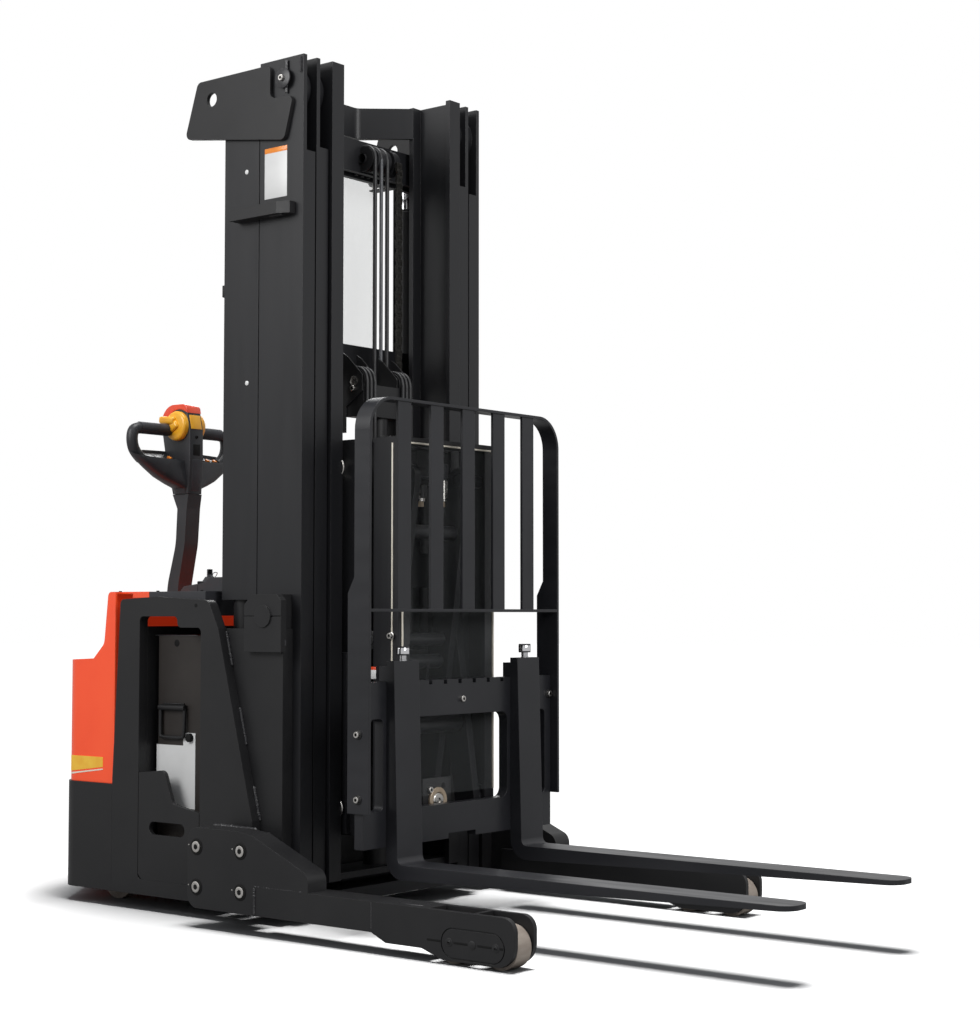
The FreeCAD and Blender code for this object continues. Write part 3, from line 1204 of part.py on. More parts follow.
caster_x = behind(d.caster_back)
cheek_inner = d.caster_width / 2 + d.caster_play
cheek_outer = cheek_inner + d.caster_sheet
caster_wheel_x = caster_x - d.caster_trail
for side, side_name in ((-1, "right"), (1, "left")):
    caster_y = side * d.caster_half
    cheeks = [
        block("caster_cheek", (caster_wheel_x - d.caster_cheek, caster_wheel_x + d.caster_cheek),
              (caster_y + low, caster_y + high), (d.caster_foot, d.caster_bridge + d.over))
        for low, high in ((-cheek_outer, -cheek_inner), (cheek_inner, cheek_outer))]
    keep(joined("caster_fork_" + side_name, cheeks + [
        rod("caster_head", "z", d.caster_neck, d.caster_bridge, d.deck_z - d.seat, caster_x, caster_y),
        block("caster_bridge", (caster_wheel_x - d.caster_cheek, caster_x + d.caster_neck),
              (caster_y - cheek_outer, caster_y + cheek_outer),
              (d.caster_bridge, d.caster_bridge + d.caster_plate)),
        rod("caster_axle", "y", d.caster_axle, caster_y - cheek_outer, caster_y + cheek_outer,
            caster_wheel_x, d.caster_radius)]))
    keep(wheel("caster_wheel_" + side_name, d.caster_radius, d.caster_width,
               d.caster_axle + d.bore_play, caster_wheel_x, caster_y))

# Tiller: arm, head with its two loops, and the travel knobs.


def side_view(name, sections, half, rounds):
    """A form of constant width from a table of heights with its rear and front faces."""
    outline = [(drive_x + front, z) for z, rear, front in sections]
    outline += [(drive_x + rear, z) for z, rear, front in reversed(sections)]
    picked = [(radius, [outline[number] for number in spots]) for radius, spots in rounds]
    return plate(name, "y", outline, -half, half, picked)


tiller_blade = side_view("tiller_blade", TILLER_SECTIONS, d.tiller_half, [(d.tiller_bend, (2, 3, 8, 9))])
keep(cut_from("tiller_arm", tiller_blade, [rod(
    "tiller_bore", "y", d.tiller_pin + d.bore_play, -d.tiller_half - d.over, d.tiller_half + d.over,
    drive_x, d.tiller_pivot)]))
column = side_view(
    "head_column", COLUMN_SECTIONS, d.tiller_half, [(d.arch_round, (4,)), (d.brow_round, (3,))])


def front_view(name, back, front):
    """The handle's outline as a plate between two planes square to X."""
    right = [(half, as_size(z)) for z, half in HANDLE_SECTIONS]
    corners = [(d.grip_half, d.grip_top), (-d.grip_half, d.grip_top)]
    left = [(-half, z) for half, z in reversed(right)]
    outline = right + corners + left
    return plate(name, "x", outline, drive_x - back, drive_x + front, [
        (d.grip_round, corners), (d.bowl_round, right[1:] + left[:-1])])


grips = front_view("grips", d.grip_back, d.grip_front)
bowl = common("bowl", front_view("bowl_front", d.bowl_back, d.bowl_ahead), plate("bowl_side", "y", [
    (drive_x - d.bowl_stem, d.head_split), (drive_x + d.bowl_ahead, d.head_split),
    (drive_x + d.bowl_ahead, d.rim_front), (drive_x - d.bowl_back, d.loop_foot),
    (drive_x - d.bowl_back, d.rim_front - d.bowl_back)], -d.grip_half, d.grip_half))
pocket_radius = d.knob_radius + d.bore_play
knob_x = drive_x + d.knob_ahead
head_cuts = []
for side, side_name in ((-1, "right"), (1, "left")):
    near = side * d.loop_near
    far = side * d.loop_far
    head_cuts.append(panel(
        "loop_" + side_name, "x", (near, far), (d.loop_foot, d.loop_top),
        drive_x - d.grip_back - d.over, drive_x + d.grip_front + d.over, d.loop_round))
pocket = rod(
    "knob_pocket", "y", pocket_radius, -d.tiller_half - d.knob_width - d.over, -d.tiller_half,
    knob_x, d.knob_z)
handle = cut_from("handle", joined("handle_whole", [grips, bowl]), head_cuts + [
    pocket, mirrored("other_pocket", pocket)])
keep(joined("tiller_head", [handle, column]))

knob_inner = -d.tiller_half - d.seat
knob_outer = knob_inner - d.knob_width
knob = rod("knob_disc", "y", d.knob_radius, knob_outer, knob_inner, knob_x, d.knob_z)
wing = block(
    "knob_wing", (drive_x - d.wing_back, drive_x + d.wing_front),
    (-d.wing_out, knob_outer + d.knob_width / 2), (d.wing_foot, d.wing_foot + d.wing_height))
keep(both_sides("travel_knobs", joined("travel_knob", [knob, wing])))

# Free lift: cylinder on the inner stage, crosshead with its wheels and hose guides, lift chains.

free_x = behind(d.free_back)
inner_floor = inner_foot + d.beam_plate
keep(cut_from("free_lift_cylinder", rod(
    "free_barrel", "z", d.free_barrel, inner_floor, d.free_top, free_x, 0),
    [rod("free_bore", "z", d.free_rod + d.seat, inner_foot + d.bore_foot, d.free_top + d.over,
         free_x, 0)]))


def guide(name, corners, face):
    """An upright guide plate on the crosshead's right half."""
    return plate(name, "y", corners, face, face + d.guide_sheet)


guide_crown = [
    (behind(d.guide_front), d.guide_front_low), (behind(d.guide_front), d.guide_front_top),
    (behind(d.guide_crest), d.guide_crest_z), (behind(d.guide_rear), d.guide_top)]
near_guide = guide("near_guide", guide_crown + [
    (behind(d.guide_rear), d.guide_low), (behind(d.guide_tail), d.guide_low),
    (behind(d.guide_tail), d.guide_knee),
    (behind(d.guide_heel), d.guide_heel_z)], -d.head_half - d.guide_sheet)
far_guide = guide("far_guide", guide_crown[1:] + [
    (behind(d.guide_rear), d.guide_low), (behind(d.guide_front), d.guide_low)],
    -d.guide_inner_face - d.guide_sheet)
head_wheel = rod(
    "head_wheel", "y", d.head_wheel, -d.head_wheel_near - d.head_wheel_width, -d.head_wheel_near,
    behind(d.head_wheel_behind), d.head_wheel_z)
head_half = joined("crosshead_side", [near_guide, far_guide, head_wheel])
keep(joined("free_lift_crosshead", [
    rod("free_rod", "z", d.free_rod, d.free_rod_foot, d.free_rod_top, free_x, 0),
    block("crosshead_block", (behind(d.head_back), behind(d.head_front)),
          (-d.head_half, d.head_half), (d.head_foot, d.head_foot + d.head_height)),
    head_half, mirrored("crosshead_other", head_half)]))
keep(both_sides("mast_chains", block(
    "mast_chain", (behind(d.chain_front + d.chain_thick), behind(d.chain_front)),
    (-chain_outer, -chain_inner), (inner_floor + d.seat, d.chain_top))))

# Pantograph geometry: the arms' pins at rest.

arm_angle = math.radians(d.arm_rest.value)
arm_run = d.arm_length * math.sin(arm_angle)
arm_drop = d.arm_length * math.cos(arm_angle)
front_track = d.rear_track + arm_run
top_z = d.track_top - d.arm_pin_drop
low_z = top_z - arm_drop
rear_x = ahead(d.rear_track)
front_x = ahead(front_track)
mid_x = rear_x + arm_run / 2
mid_z = top_z - arm_drop / 2
track_web = -d.track_half + d.track_wall


def track(name, centre):
    """An upright channel that guides the arms' lower rollers."""
    low = ahead(centre) - d.track_depth / 2
    high = ahead(centre) + d.track_depth / 2
    inner = d.track_half - d.track_width
    corners = [(low, -d.track_half), (high, -d.track_half)]
    return plate(name, "z", corners + [
        (high, -inner), (high - d.track_wall, -inner),
        (high - d.track_wall, track_web), (low + d.track_wall, track_web),
        (low + d.track_wall, -inner), (low, -inner)], d.track_foot, d.track_top,
        [(d.track_round, corners)])


# Lift carriage: rear tracks, side plates with mast rollers, ties and the cylinder's ears.

carriage_roller = inner_depth / 2 - d.flange - d.roller_play
inner_centre = inner_back + inner_depth / 2
track_back = rear_x - d.track_depth / 2 + d.tie_inset
carriage_side = joined("carriage_side", [
    track("rear_track_side", d.rear_track),
    block("carriage_cheek", (behind(d.carriage_back), rear_x), (-d.carriage_half, -d.track_half),
          (d.carriage_low, d.carriage_high)),
    rod("carriage_roller_low", "y", carriage_roller, -d.carriage_half - d.roller_width,
        -d.carriage_half, inner_centre, d.carriage_roller_low),
    rod("carriage_roller_top", "y", carriage_roller, -d.carriage_half - d.roller_width,
        -d.carriage_half, inner_centre, d.carriage_roller_top),
    rod("outer_arm_pin", "y", d.pin_radius, track_web, -d.outer_arm_half + d.arm_plate, rear_x, top_z)])
foot_x = ahead(d.foot_ahead)
ears = [
    block("cylinder_ear", (track_back, ahead(d.ear_front)), (low, high), (d.track_foot, d.ear_top))
    for low, high in ((-d.ear_inner - d.ear_plate, -d.ear_inner), (d.ear_inner, d.ear_inner + d.ear_plate))]
keep(joined("lift_carriage", ears + [
    carriage_side, mirrored("carriage_other", carriage_side),
    block("carriage_top", (track_back, rear_x + d.track_depth / 2), (-d.track_half, d.track_half),
          (d.track_top, d.track_top + d.top_sheet)),
    block("carriage_foot", (track_back, track_back + d.tie_thick), (-d.track_half, d.track_half),
          (d.track_foot, d.track_foot + d.tie_height)),
    block("carriage_tie", (track_back, track_back + d.mid_tie_thick), (-d.track_half, d.track_half),
          (d.mid_tie_z, d.mid_tie_z + d.mid_tie_height)),
    rod("foot_pin", "y", d.foot_pin, -d.ear_inner - d.ear_plate, d.ear_inner + d.ear_plate,
        foot_x, d.foot_z)]))
valve_top = d.track_top - d.seat
valve_foot = valve_top - d.valve_height
keep(joined("valve_block", [
    block("valve_body", (behind(d.valve_back), behind(d.valve_back) + d.valve_length),
          (d.valve_near, d.valve_near + d.valve_width), (valve_foot, valve_top)),
    rod("valve_coil", "z", d.coil_radius, valve_foot - d.coil_length, valve_foot,
        behind(d.valve_back) + d.valve_length - d.coil_radius, d.valve_near + d.valve_width / 2)]))

# Pantograph arms.


def arm(name, lean, half):
    """One flat arm between its two pin centres, on the right-hand side."""
    body = doc.addObject("PartDesign::Body", name)
    body.Label = name
    reach = d.arm_length / 2 + d.arm_depth / 2
    wide = d.arm_depth / 2
    corners = [(-wide, -reach), (wide, -reach), (wide, reach), (-wide, reach)]
    pad = body.newObject("PartDesign::Pad", "Pad")
    pad.Profile = sketch_on(body, "y", corners)
    bind(pad, "Length", d.arm_plate)
    round_corners(body, pad, "y", corners, wide - d.bore_play)
    place(body, mid_x, -half + d.arm_plate, mid_z, Rotation(Vector(0, 1, 0), lean))
    return body


def arm_hole(name, half, x, z):
    """A hole for a pin through an arm."""
    return rod(name, "y", d.pin_radius + d.pin_play, -half - d.over, -half + d.arm_plate + d.over, x, z)


def arm_roller(name, end, x):
    """A roller in a track, on an arm's lower end."""
    return rod(name, "y", d.track_depth / 2 - d.track_wall - d.roller_gap, track_web + d.roller_gap,
               end, x, low_z)


def on_inner(share):
    """A point on the inner arms' line, as a share of the way down from their top pins."""
    return rear_x + arm_run * (1 - share), top_z - arm_drop * share


outer_side = joined("outer_side", [
    cut_from("outer_bar_cut", arm("outer_bar", -d.arm_rest.value, d.outer_arm_half), [
        arm_hole("outer_hole", d.outer_arm_half, rear_x, top_z)]),
    arm_roller("outer_arm_roller", -d.outer_arm_half, front_x)])
outer_tube_x = rear_x + d.tube_drop * math.tan(arm_angle)
tube_half = d.outer_arm_half - d.arm_plate / 2
keep(joined("reach_arms_outer", [
    outer_side, mirrored("outer_other", outer_side),
    rod("mid_shaft", "y", d.pin_radius, -d.outer_arm_half, d.outer_arm_half, mid_x, mid_z),
    rod("cross_tube", "y", d.outer_tube, -tube_half, tube_half, outer_tube_x, top_z - d.tube_drop)]))

eye_x, eye_z = on_inner(ROD_EYE_SHARE)
inner_side = joined("inner_side", [
    cut_from("inner_bar_cut", arm("inner_bar", d.arm_rest.value, d.inner_arm_half), [
        arm_hole("inner_hole", d.inner_arm_half, mid_x, mid_z),
        arm_hole("inner_top_hole", d.inner_arm_half, front_x, top_z)]),
    arm_roller("inner_arm_roller", -d.outer_arm_half + d.arm_plate / 2, rear_x),
    rod("inner_arm_stub", "y", d.pin_radius, -d.outer_arm_half, -d.inner_arm_half + d.over,
        rear_x, low_z)])


def rod_lug():
    """A plate along the inner arms, from their cross tube to the rod's eye, with its boss."""
    low = -d.rod_lug_half - d.rod_lug_plate
    bar = doc.addObject("Part::Box", "rod_lug_bar")
    bind(bar, "Length", d.lug_depth)
    bind(bar, "Width", d.rod_lug_plate)
    bind(bar, "Height", d.arm_length * (ROD_EYE_SHARE - LOW_TUBE_SHARE))
    lean = Rotation(Vector(0, 1, 0), d.arm_rest.value)
    shift = lean.multVec(Vector(-d.lug_depth.value / 2, 0, 0))
    place(bar, eye_x + shift.x, low, eye_z + shift.z, lean)
    return joined("rod_lug", [
        bar,
        rod("rod_lug_round", "y", d.lug_depth / 2, low, -d.rod_lug_half, eye_x, eye_z),
        rod("rod_lug_boss", "y", d.lug_boss, low - d.lug_boss_out, low, eye_x, eye_z)])


low_tube_x, low_tube_z = on_inner(LOW_TUBE_SHARE)
high_tube_x, high_tube_z = on_inner(HIGH_TUBE_SHARE)
inner_tube_half = d.inner_arm_half - d.arm_plate / 2
lug = rod_lug()
keep(joined("reach_arms_inner", [
    inner_side, mirrored("inner_other", inner_side), lug, mirrored("other_rod_lug", lug),
    rod("inner_tube", "y", d.inner_tube, -inner_tube_half, inner_tube_half, low_tube_x, low_tube_z),
    rod("inner_top_tube", "y", d.inner_tube, -inner_tube_half, inner_tube_half,
        high_tube_x, high_tube_z)]))

# Reach cylinder from the lift carriage to the inner arms.

cylinder_run = eye_x.value - foot_x.value
cylinder_rise = eye_z.value - d.foot_z.value
cylinder_length = math.hypot(cylinder_run, cylinder_rise)
cylinder_lean = math.degrees(math.atan2(cylinder_run, cylinder_rise))


def leaning(name, radius, start, end):
    """A round bar along the reach cylinder's axis."""
    thing = doc.addObject("Part::Cylinder", name)
    bind(thing, "Radius", radius)
    bind(thing, "Height", as_size(end) - start)
    lean = Rotation(Vector(0, 1, 0), cylinder_lean)
    shift = lean.multVec(Vector(0, 0, as_size(start).value))
    place(thing, foot_x + shift.x, 0, d.foot_z + shift.z, lean)
    return thing


foot_eye = d.ear_inner - d.eye_play
rod_eye = d.rod_lug_half - d.rod_eye_play
barrel_end = cylinder_length - d.reach_stub
keep(cut_from("reach_cylinder", joined("reach_barrel_solid", [
    leaning("reach_barrel", d.reach_barrel, d.reach_eye - d.eye_sink, barrel_end),
    rod("foot_eye", "y", d.reach_eye, -foot_eye, foot_eye, foot_x, d.foot_z)]), [
        leaning("reach_bore", d.reach_rod + d.eye_play, d.reach_bore_foot, barrel_end + d.over),
        rod("foot_eye_bore", "y", d.foot_pin + d.eye_play, -foot_eye - d.over, foot_eye + d.over,
            foot_x, d.foot_z)]))
keep(cut_from("reach_rod", joined("reach_rod_solid", [
    leaning("reach_rod_bar", d.reach_rod, d.rod_foot, cylinder_length - d.reach_bore - d.eye_sink),
    rod("rod_eye", "y", d.reach_eye, -rod_eye, rod_eye, eye_x, eye_z)]), [
        rod("rod_eye_bore", "y", d.reach_bore, -rod_eye - d.over, rod_eye + d.over, eye_x, eye_z)]))

# Front frame of the pantograph and its clear shield.

tilt_x = ahead(d.tilt_ahead)
ear_near = -d.track_half - d.tilt_ear_gap
ear_far = ear_near - d.tilt_ear
front_side = joined("front_side", [
    track("front_track_side", front_track),
    rod("inner_arm_pin", "y", d.pin_radius, track_web, -d.inner_arm_half + d.arm_plate, front_x, top_z),
    rod("tilt_pin", "y", d.tilt_pin, ear_far - d.over * 2, track_web, tilt_x, d.tilt_z)])
front_face = front_x + d.track_depth / 2
keep(joined("reach_frame", [
    front_side, mirrored("front_other", front_side),
    block("front_top", (front_face - d.track_depth, front_face), (-d.track_half, d.track_half),
          (d.track_top, d.track_top + d.top_sheet)),
    block("front_foot", (front_face - d.front_tie_thick, front_face), (-d.track_half, d.track_half),
          (d.track_foot, d.track_foot + d.tie_height))]))
keep(block(
    "clear_shield", (front_face + d.seat, front_face + d.seat + d.shield_sheet),
    (-d.shield_half, d.shield_half), (d.shield_foot, d.track_top - d.shield_drop)))

# Fork plate, forks and load backrest.

plate_rear = ahead(d.plate_back)
plate_front = plate_rear + d.plate_thick
through = (plate_rear - d.over, plate_front + d.over)
plate_cuts = [
    panel("plate_window_%s" % name, "x", (low, high), (d.plate_window_foot, d.plate_window_top),
          through[0], through[1], radius)
    for name, low, high, radius in (
        ("middle", -d.plate_window_half, d.plate_window_half, d.plate_window_round),
        ("right", -d.side_window_far, -d.side_window_near, d.window_round),
        ("left", d.side_window_near, d.side_window_far, d.window_round))]
for i in range(-3, 3):
    notch_y = d.notch_shift + (i + 0.5) * d.notch_pitch
    plate_cuts.append(block(
        "fork_notch", through, (notch_y - d.notch_width / 2, notch_y + d.notch_width / 2),
        (d.plate_top - d.notch_depth, d.plate_top + d.over)))
plate_cuts.append(block(
    "low_notch", through, (-d.low_notch_half, d.low_notch_half),
    (d.plate_foot - d.over, d.plate_foot + d.low_notch_depth)))
fork_plate_solid = block(
    "fork_plate_solid", (plate_rear, plate_front), (-d.plate_half, d.plate_half),
    (d.plate_foot, d.plate_top))
tilt_ear = cut_from("tilt_ear", block(
    "tilt_ear_solid", (tilt_x - d.tilt_ear_half, plate_rear), (ear_far, ear_near),
    (d.tilt_z - d.tilt_ear_half, d.tilt_z + d.tilt_ear_half)), [rod(
        "tilt_bore", "y", d.tilt_pin + d.pin_play, ear_far - d.over, ear_near + d.over,
        tilt_x, d.tilt_z)])
keep(joined("fork_plate", [
    cut_from("fork_plate_cut", fork_plate_solid, plate_cuts), tilt_ear,
    mirrored("tilt_ear_other", tilt_ear)]))

shank_front = plate_front + d.fork_thick
fork_end = shank_front + d.fork_length
fork_foot = d.fork_top_z - d.fork_thick


def fork(name, centre):
    """One fork: shank with its hook and lock pin, rounded heel and tapered blade."""
    heel = (plate_front, fork_foot)
    throat = (shank_front, d.fork_top_z)
    profile = plate(name + "_profile", "y", [
        (plate_front, d.shank_top), heel, (fork_end, d.fork_top_z - d.fork_tip),
        (fork_end, d.fork_top_z), throat, (plate_front + d.fork_taper, d.shank_top)],
        centre - d.fork_width / 2, centre + d.fork_width / 2,
        [(d.fork_heel, [heel]), (d.fork_throat, [throat])])
    tips = [(fork_end, centre - d.fork_width / 2), (fork_end, centre + d.fork_width / 2)]
    plan = plate(name + "_plan", "z", [
        (plate_front - d.over, centre - d.fork_width / 2), tips[0], tips[1],
        (plate_front - d.over, centre + d.fork_width / 2)],
        fork_foot - d.over, d.shank_top + d.over, [(d.fork_tip_round, tips)])
    hook_top = d.shank_top - d.lock_neck
    pin_x = plate_front + d.fork_taper / 2
    knob_foot = d.shank_top + d.lock_neck
    return joined(name, [
        common(name + "_blade", profile, plan),
        block(name + "_hook", (plate_front - d.hook_depth, plate_front),
              (centre - d.fork_width / 2, centre + d.fork_width / 2),
              (d.plate_top + d.seat, hook_top)),
        rod(name + "_pin", "z", d.lock_pin, d.shank_top, knob_foot, pin_x, centre),
        rod(name + "_knob", "z", d.lock_knob, knob_foot, knob_foot + d.lock_height, pin_x, centre)])


keep(fork("fork_right", -d.fork_half))
keep(fork("fork_left", d.fork_half))

rest_face = ahead(d.rest_front)
rest_back = rest_face - d.rest_depth
rest_in = d.rest_half - d.rest_sheet
rest_under = d.rest_top - d.rest_sheet
outer_tops = [(-d.rest_half, d.rest_top), (d.rest_half, d.rest_top)]
inner_tops = [(-rest_in, rest_under), (rest_in, rest_under)]
rest_outer = plate("rest_outer", "x", [
    (-d.rest_half, d.rest_foot), (d.rest_half, d.rest_foot), outer_tops[1], outer_tops[0]],
    rest_back, rest_face, [(d.rest_round, outer_tops)])
rest_inner = plate("rest_inner", "x", [
    (-rest_in, d.rest_foot - d.over), (rest_in, d.rest_foot - d.over), inner_tops[1], inner_tops[0]],
    rest_back - d.over, rest_face + d.over, [(d.rest_round - d.rest_sheet, inner_tops)])
cheek = plate("rest_cheek", "y", [
    (rest_face - d.cheek_depth, d.rest_foot), (rest_face, d.rest_foot),
    (rest_face, d.cheek_top + d.cheek_slope), (rest_back, d.cheek_top + d.cheek_slope),
    (rest_face - d.cheek_depth, d.cheek_top)], -d.rest_half, -rest_in)
bar_front = rest_face - d.rest_bar_inset
bars = [
    block("rest_bar_%d" % i, (bar_front - d.rest_sheet, bar_front),
          (i * d.rest_pitch - d.rest_bar / 2, i * d.rest_pitch + d.rest_bar / 2),
          (d.rest_mid - d.over, d.rest_top - d.over))
    for i in range(-2, 3)]
keep(joined("backrest", bars + [
    cut_from("rest_frame", rest_outer, [rest_inner]), cheek, mirrored("other_cheek", cheek),
    block("rest_low_bar", (rest_back, rest_face), (-rest_in, rest_in),
          (d.rest_mid - d.rest_sheet, d.rest_mid))]))

doc.recompute()
for thing in doc.Objects:
    if "Invalid" in thing.State or "Error" in thing.State:
        raise RuntimeError("not computed: %s %s" % (thing.Label, thing.State))
for thing in nodes:
    shape = thing.Shape
    if shape.isNull() or not shape.isValid() or not shape.Solids:
        raise RuntimeError("bad shape: %s" % thing.Label)
for thing in nodes:
    thing.Shape.exportStep("parts/%s.step" % thing.Label)
print("wrote %d sub-parts" % len(nodes))
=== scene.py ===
import math
import random

import bmesh
import bpy
from mathutils import Matrix, Vector


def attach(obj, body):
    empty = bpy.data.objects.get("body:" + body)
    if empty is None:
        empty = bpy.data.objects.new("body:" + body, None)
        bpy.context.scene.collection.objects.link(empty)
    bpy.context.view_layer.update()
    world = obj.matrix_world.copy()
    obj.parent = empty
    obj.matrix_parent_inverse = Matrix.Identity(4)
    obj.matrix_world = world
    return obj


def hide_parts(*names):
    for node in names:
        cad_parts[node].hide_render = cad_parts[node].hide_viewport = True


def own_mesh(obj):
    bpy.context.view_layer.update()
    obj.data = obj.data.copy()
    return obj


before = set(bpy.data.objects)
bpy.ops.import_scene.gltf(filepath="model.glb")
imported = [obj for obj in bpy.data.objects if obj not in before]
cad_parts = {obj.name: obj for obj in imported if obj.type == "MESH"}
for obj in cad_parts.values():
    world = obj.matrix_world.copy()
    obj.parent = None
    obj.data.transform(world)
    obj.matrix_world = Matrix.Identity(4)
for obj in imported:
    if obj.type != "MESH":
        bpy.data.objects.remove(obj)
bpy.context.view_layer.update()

bpy.context.scene.view_settings.view_transform = "Standard"

MM = 0.001
MAST_FRONT = -173
RIGHT, LEFT = -1, 1

# Directions, with OUTWARD as it is on the truck's right side.
AHEAD, OUTWARD, LEFTWARD, UP = (1, 0, 0), (0, RIGHT, 0), (0, LEFT, 0), (0, 0, 1)


def spot(x, y, z):
    """A place in metres, from millimetres ahead of the mast's face, to the left and above the floor."""
    return Vector(((x + MAST_FRONT) * MM, y * MM, z * MM))


# Camera, lights and floor.

CAMERA_PLACE = (3.388, -4.064, 0.822)
CAMERA_TURN, CAMERA_LIFT = math.radians(38.38), math.radians(3.08)
LENS, SENSOR = 67.25, 36
GREY_TINT, GREY_POWER = (0.92, 0.95, 1.0, 1), 0.34
WHITE_POWER, WHITE_IN_GLOSS = 1.0, 0.62
FLOOR_SIZE, FLOOR_DROP = 40, 0.0005
FLOOR_TONES, FLOOR_GLOWS = (0.10, 0.40), (0.35, 1.1)
FADE_START, FADE_END = 1.5, 2.7


def aim(thing, direction):
    """Turns a camera or lamp so that it looks along a direction."""
    thing.rotation_mode = "QUATERNION"
    thing.rotation_quaternion = direction.to_track_quat("-Z", "Y")


def add_camera():
    """The camera at the photographer's place, with the frame's long side on the sensor."""
    data = bpy.data.cameras.new("camera")
    data.sensor_width = SENSOR
    data.lens = LENS
    camera = bpy.data.objects.new("camera", data)
    camera.location = CAMERA_PLACE
    level = math.cos(CAMERA_LIFT)
    aim(camera, Vector((-math.sin(CAMERA_TURN) * level, math.cos(CAMERA_TURN) * level,
                        math.sin(CAMERA_LIFT))))
    bpy.context.collection.objects.link(camera)
    bpy.context.scene.camera = camera


def add_lamp(name, place, target, width, height, power, floor="EXCLUDE"):
    """A soft box of light that faces a target, and lights either the floor alone or all but the floor."""
    data = bpy.data.lights.new(name, "AREA")
    data.shape = "RECTANGLE"
    data.size = width
    data.size_y = height
    data.energy = power
    lamp = bpy.data.objects.new(name, data)
    lamp.location = place
    aim(lamp, Vector(target) - Vector(place))
    bpy.context.collection.objects.link(lamp)
    lit = bpy.data.collections.new(name)
    lit.objects.link(bpy.data.objects["studio_floor"])
    lamp.light_linking.receiver_collection = lit
    lit.collection_objects[0].light_linking.link_state = floor


def ranged(tree, source, low, high, start=0.0, end=1.0):
    """A value that runs from low to high while its source runs from start to end."""
    span = tree.nodes.new("ShaderNodeMapRange")
    span.inputs["From Min"].default_value = start
    span.inputs["From Max"].default_value = end
    span.inputs["To Min"].default_value = low
    span.inputs["To Max"].default_value = high
    tree.links.new(source, span.inputs["Value"])
    return span.outputs["Result"]


def larger(tree, first, second):
    """The larger of two values."""
    both = tree.nodes.new("ShaderNodeMath")
    both.operation = "MAXIMUM"
    tree.links.new(first, both.inputs[0])
    tree.links.new(second, both.inputs[1])
    return both.outputs[0]


def mixed(tree, share, first, second):
    """The first shader where the share is nought, and the second where it is one."""
    mix = tree.nodes.new("ShaderNodeMixShader")
    tree.links.new(share, mix.inputs[0])
    tree.links.new(first, mix.inputs[1])
    tree.links.new(second, mix.inputs[2])
    return mix.outputs[0]


def add_world():
    """White where the camera, gloss and glass look, and a plain grey light on everything else."""
    world = bpy.data.worlds.new("studio")
    bpy.context.scene.world = world
    world.use_nodes = True
    tree = world.node_tree
    grey = tree.nodes["Background"]
    grey.inputs["Color"].default_value = GREY_TINT
    grey.inputs["Strength"].default_value = GREY_POWER
    path = tree.nodes.new("ShaderNodeLightPath").outputs
    white = tree.nodes.new("ShaderNodeBackground")
    white.inputs["Color"].default_value = (1, 1, 1, 1)
    power = ranged(tree, path["Is Glossy Ray"], WHITE_POWER, WHITE_IN_GLOSS)
    tree.links.new(power, white.inputs["Strength"])
    seen = larger(tree, path["Is Camera Ray"], path["Is Glossy Ray"])
    seen = larger(tree, seen, path["Is Transmission Ray"])
    sky = mixed(tree, seen, grey.outputs[0], white.outputs[0])
    tree.links.new(sky, tree.nodes["World Output"].inputs["Surface"])


def add_floor():
    """A pale floor that fades into the background and keeps the truck's shadow."""
    material = bpy.data.materials.new("studio_floor")
    material.use_nodes = True
    tree = material.node_tree
    shader = tree.nodes["Principled BSDF"]
    shader.inputs["Roughness"].default_value = 0.9
    shader.inputs["Specular IOR Level"].default_value = 0.0
    seen = tree.nodes.new("ShaderNodeLightPath").outputs["Is Camera Ray"]
    tree.links.new(ranged(tree, seen, *FLOOR_TONES), shader.inputs["Base Color"])
    glow = tree.nodes.new("ShaderNodeEmission")
    tree.links.new(ranged(tree, seen, *FLOOR_GLOWS), glow.inputs["Strength"])
    place = tree.nodes.new("ShaderNodeTexCoord")
    distance = tree.nodes.new("ShaderNodeVectorMath")
    distance.operation = "LENGTH"
    tree.links.new(place.outputs["Object"], distance.inputs[0])
    fade = ranged(tree, distance.outputs["Value"], 0.0, 1.0, FADE_START, FADE_END)
    surface = mixed(tree, fade, shader.outputs[0], glow.outputs[0])
    tree.links.new(surface, tree.nodes["Material Output"].inputs["Surface"])
    sheet = bmesh.new()
    bmesh.ops.create_grid(sheet, x_segments=1, y_segments=1, size=FLOOR_SIZE)
    mesh = bpy.data.meshes.new("studio_floor")
    sheet.to_mesh(mesh)
    sheet.free()
    mesh.materials.append(material)
    floor = bpy.data.objects.new("studio_floor", mesh)
    floor.location.z = -FLOOR_DROP
    bpy.context.collection.objects.link(floor)


add_camera()
add_world()
add_floor()
add_lamp("floor_box", (0.35, 0.2, 8.2), (0.35, 0.1, 0), 3.0, 3.0, 2600, "INCLUDE")
add_lamp("top_box", (0.35, 0.1, 8.0), (0.35, 0, 0), 3.6, 3.6, 330)
add_lamp("front_box", (4.4, -1.0, 3.2), (0, 0, 1.7), 2.4, 2.4, 105)
add_lamp("side_box", (-1.4, -4.4, 3.4), (-0.2, 0, 1.5), 2.8, 2.2, 128)
add_lamp("back_box", (-3.8, 3.2, 3.2), (0, 0, 1.2), 2.4, 2.4, 70)


# Finishes.

# Where in the noise one colour or one gloss ends and the other begins.
PATCH_SHARES, POLISH_SHARES = (0.35, 0.65), (0.3, 0.7)


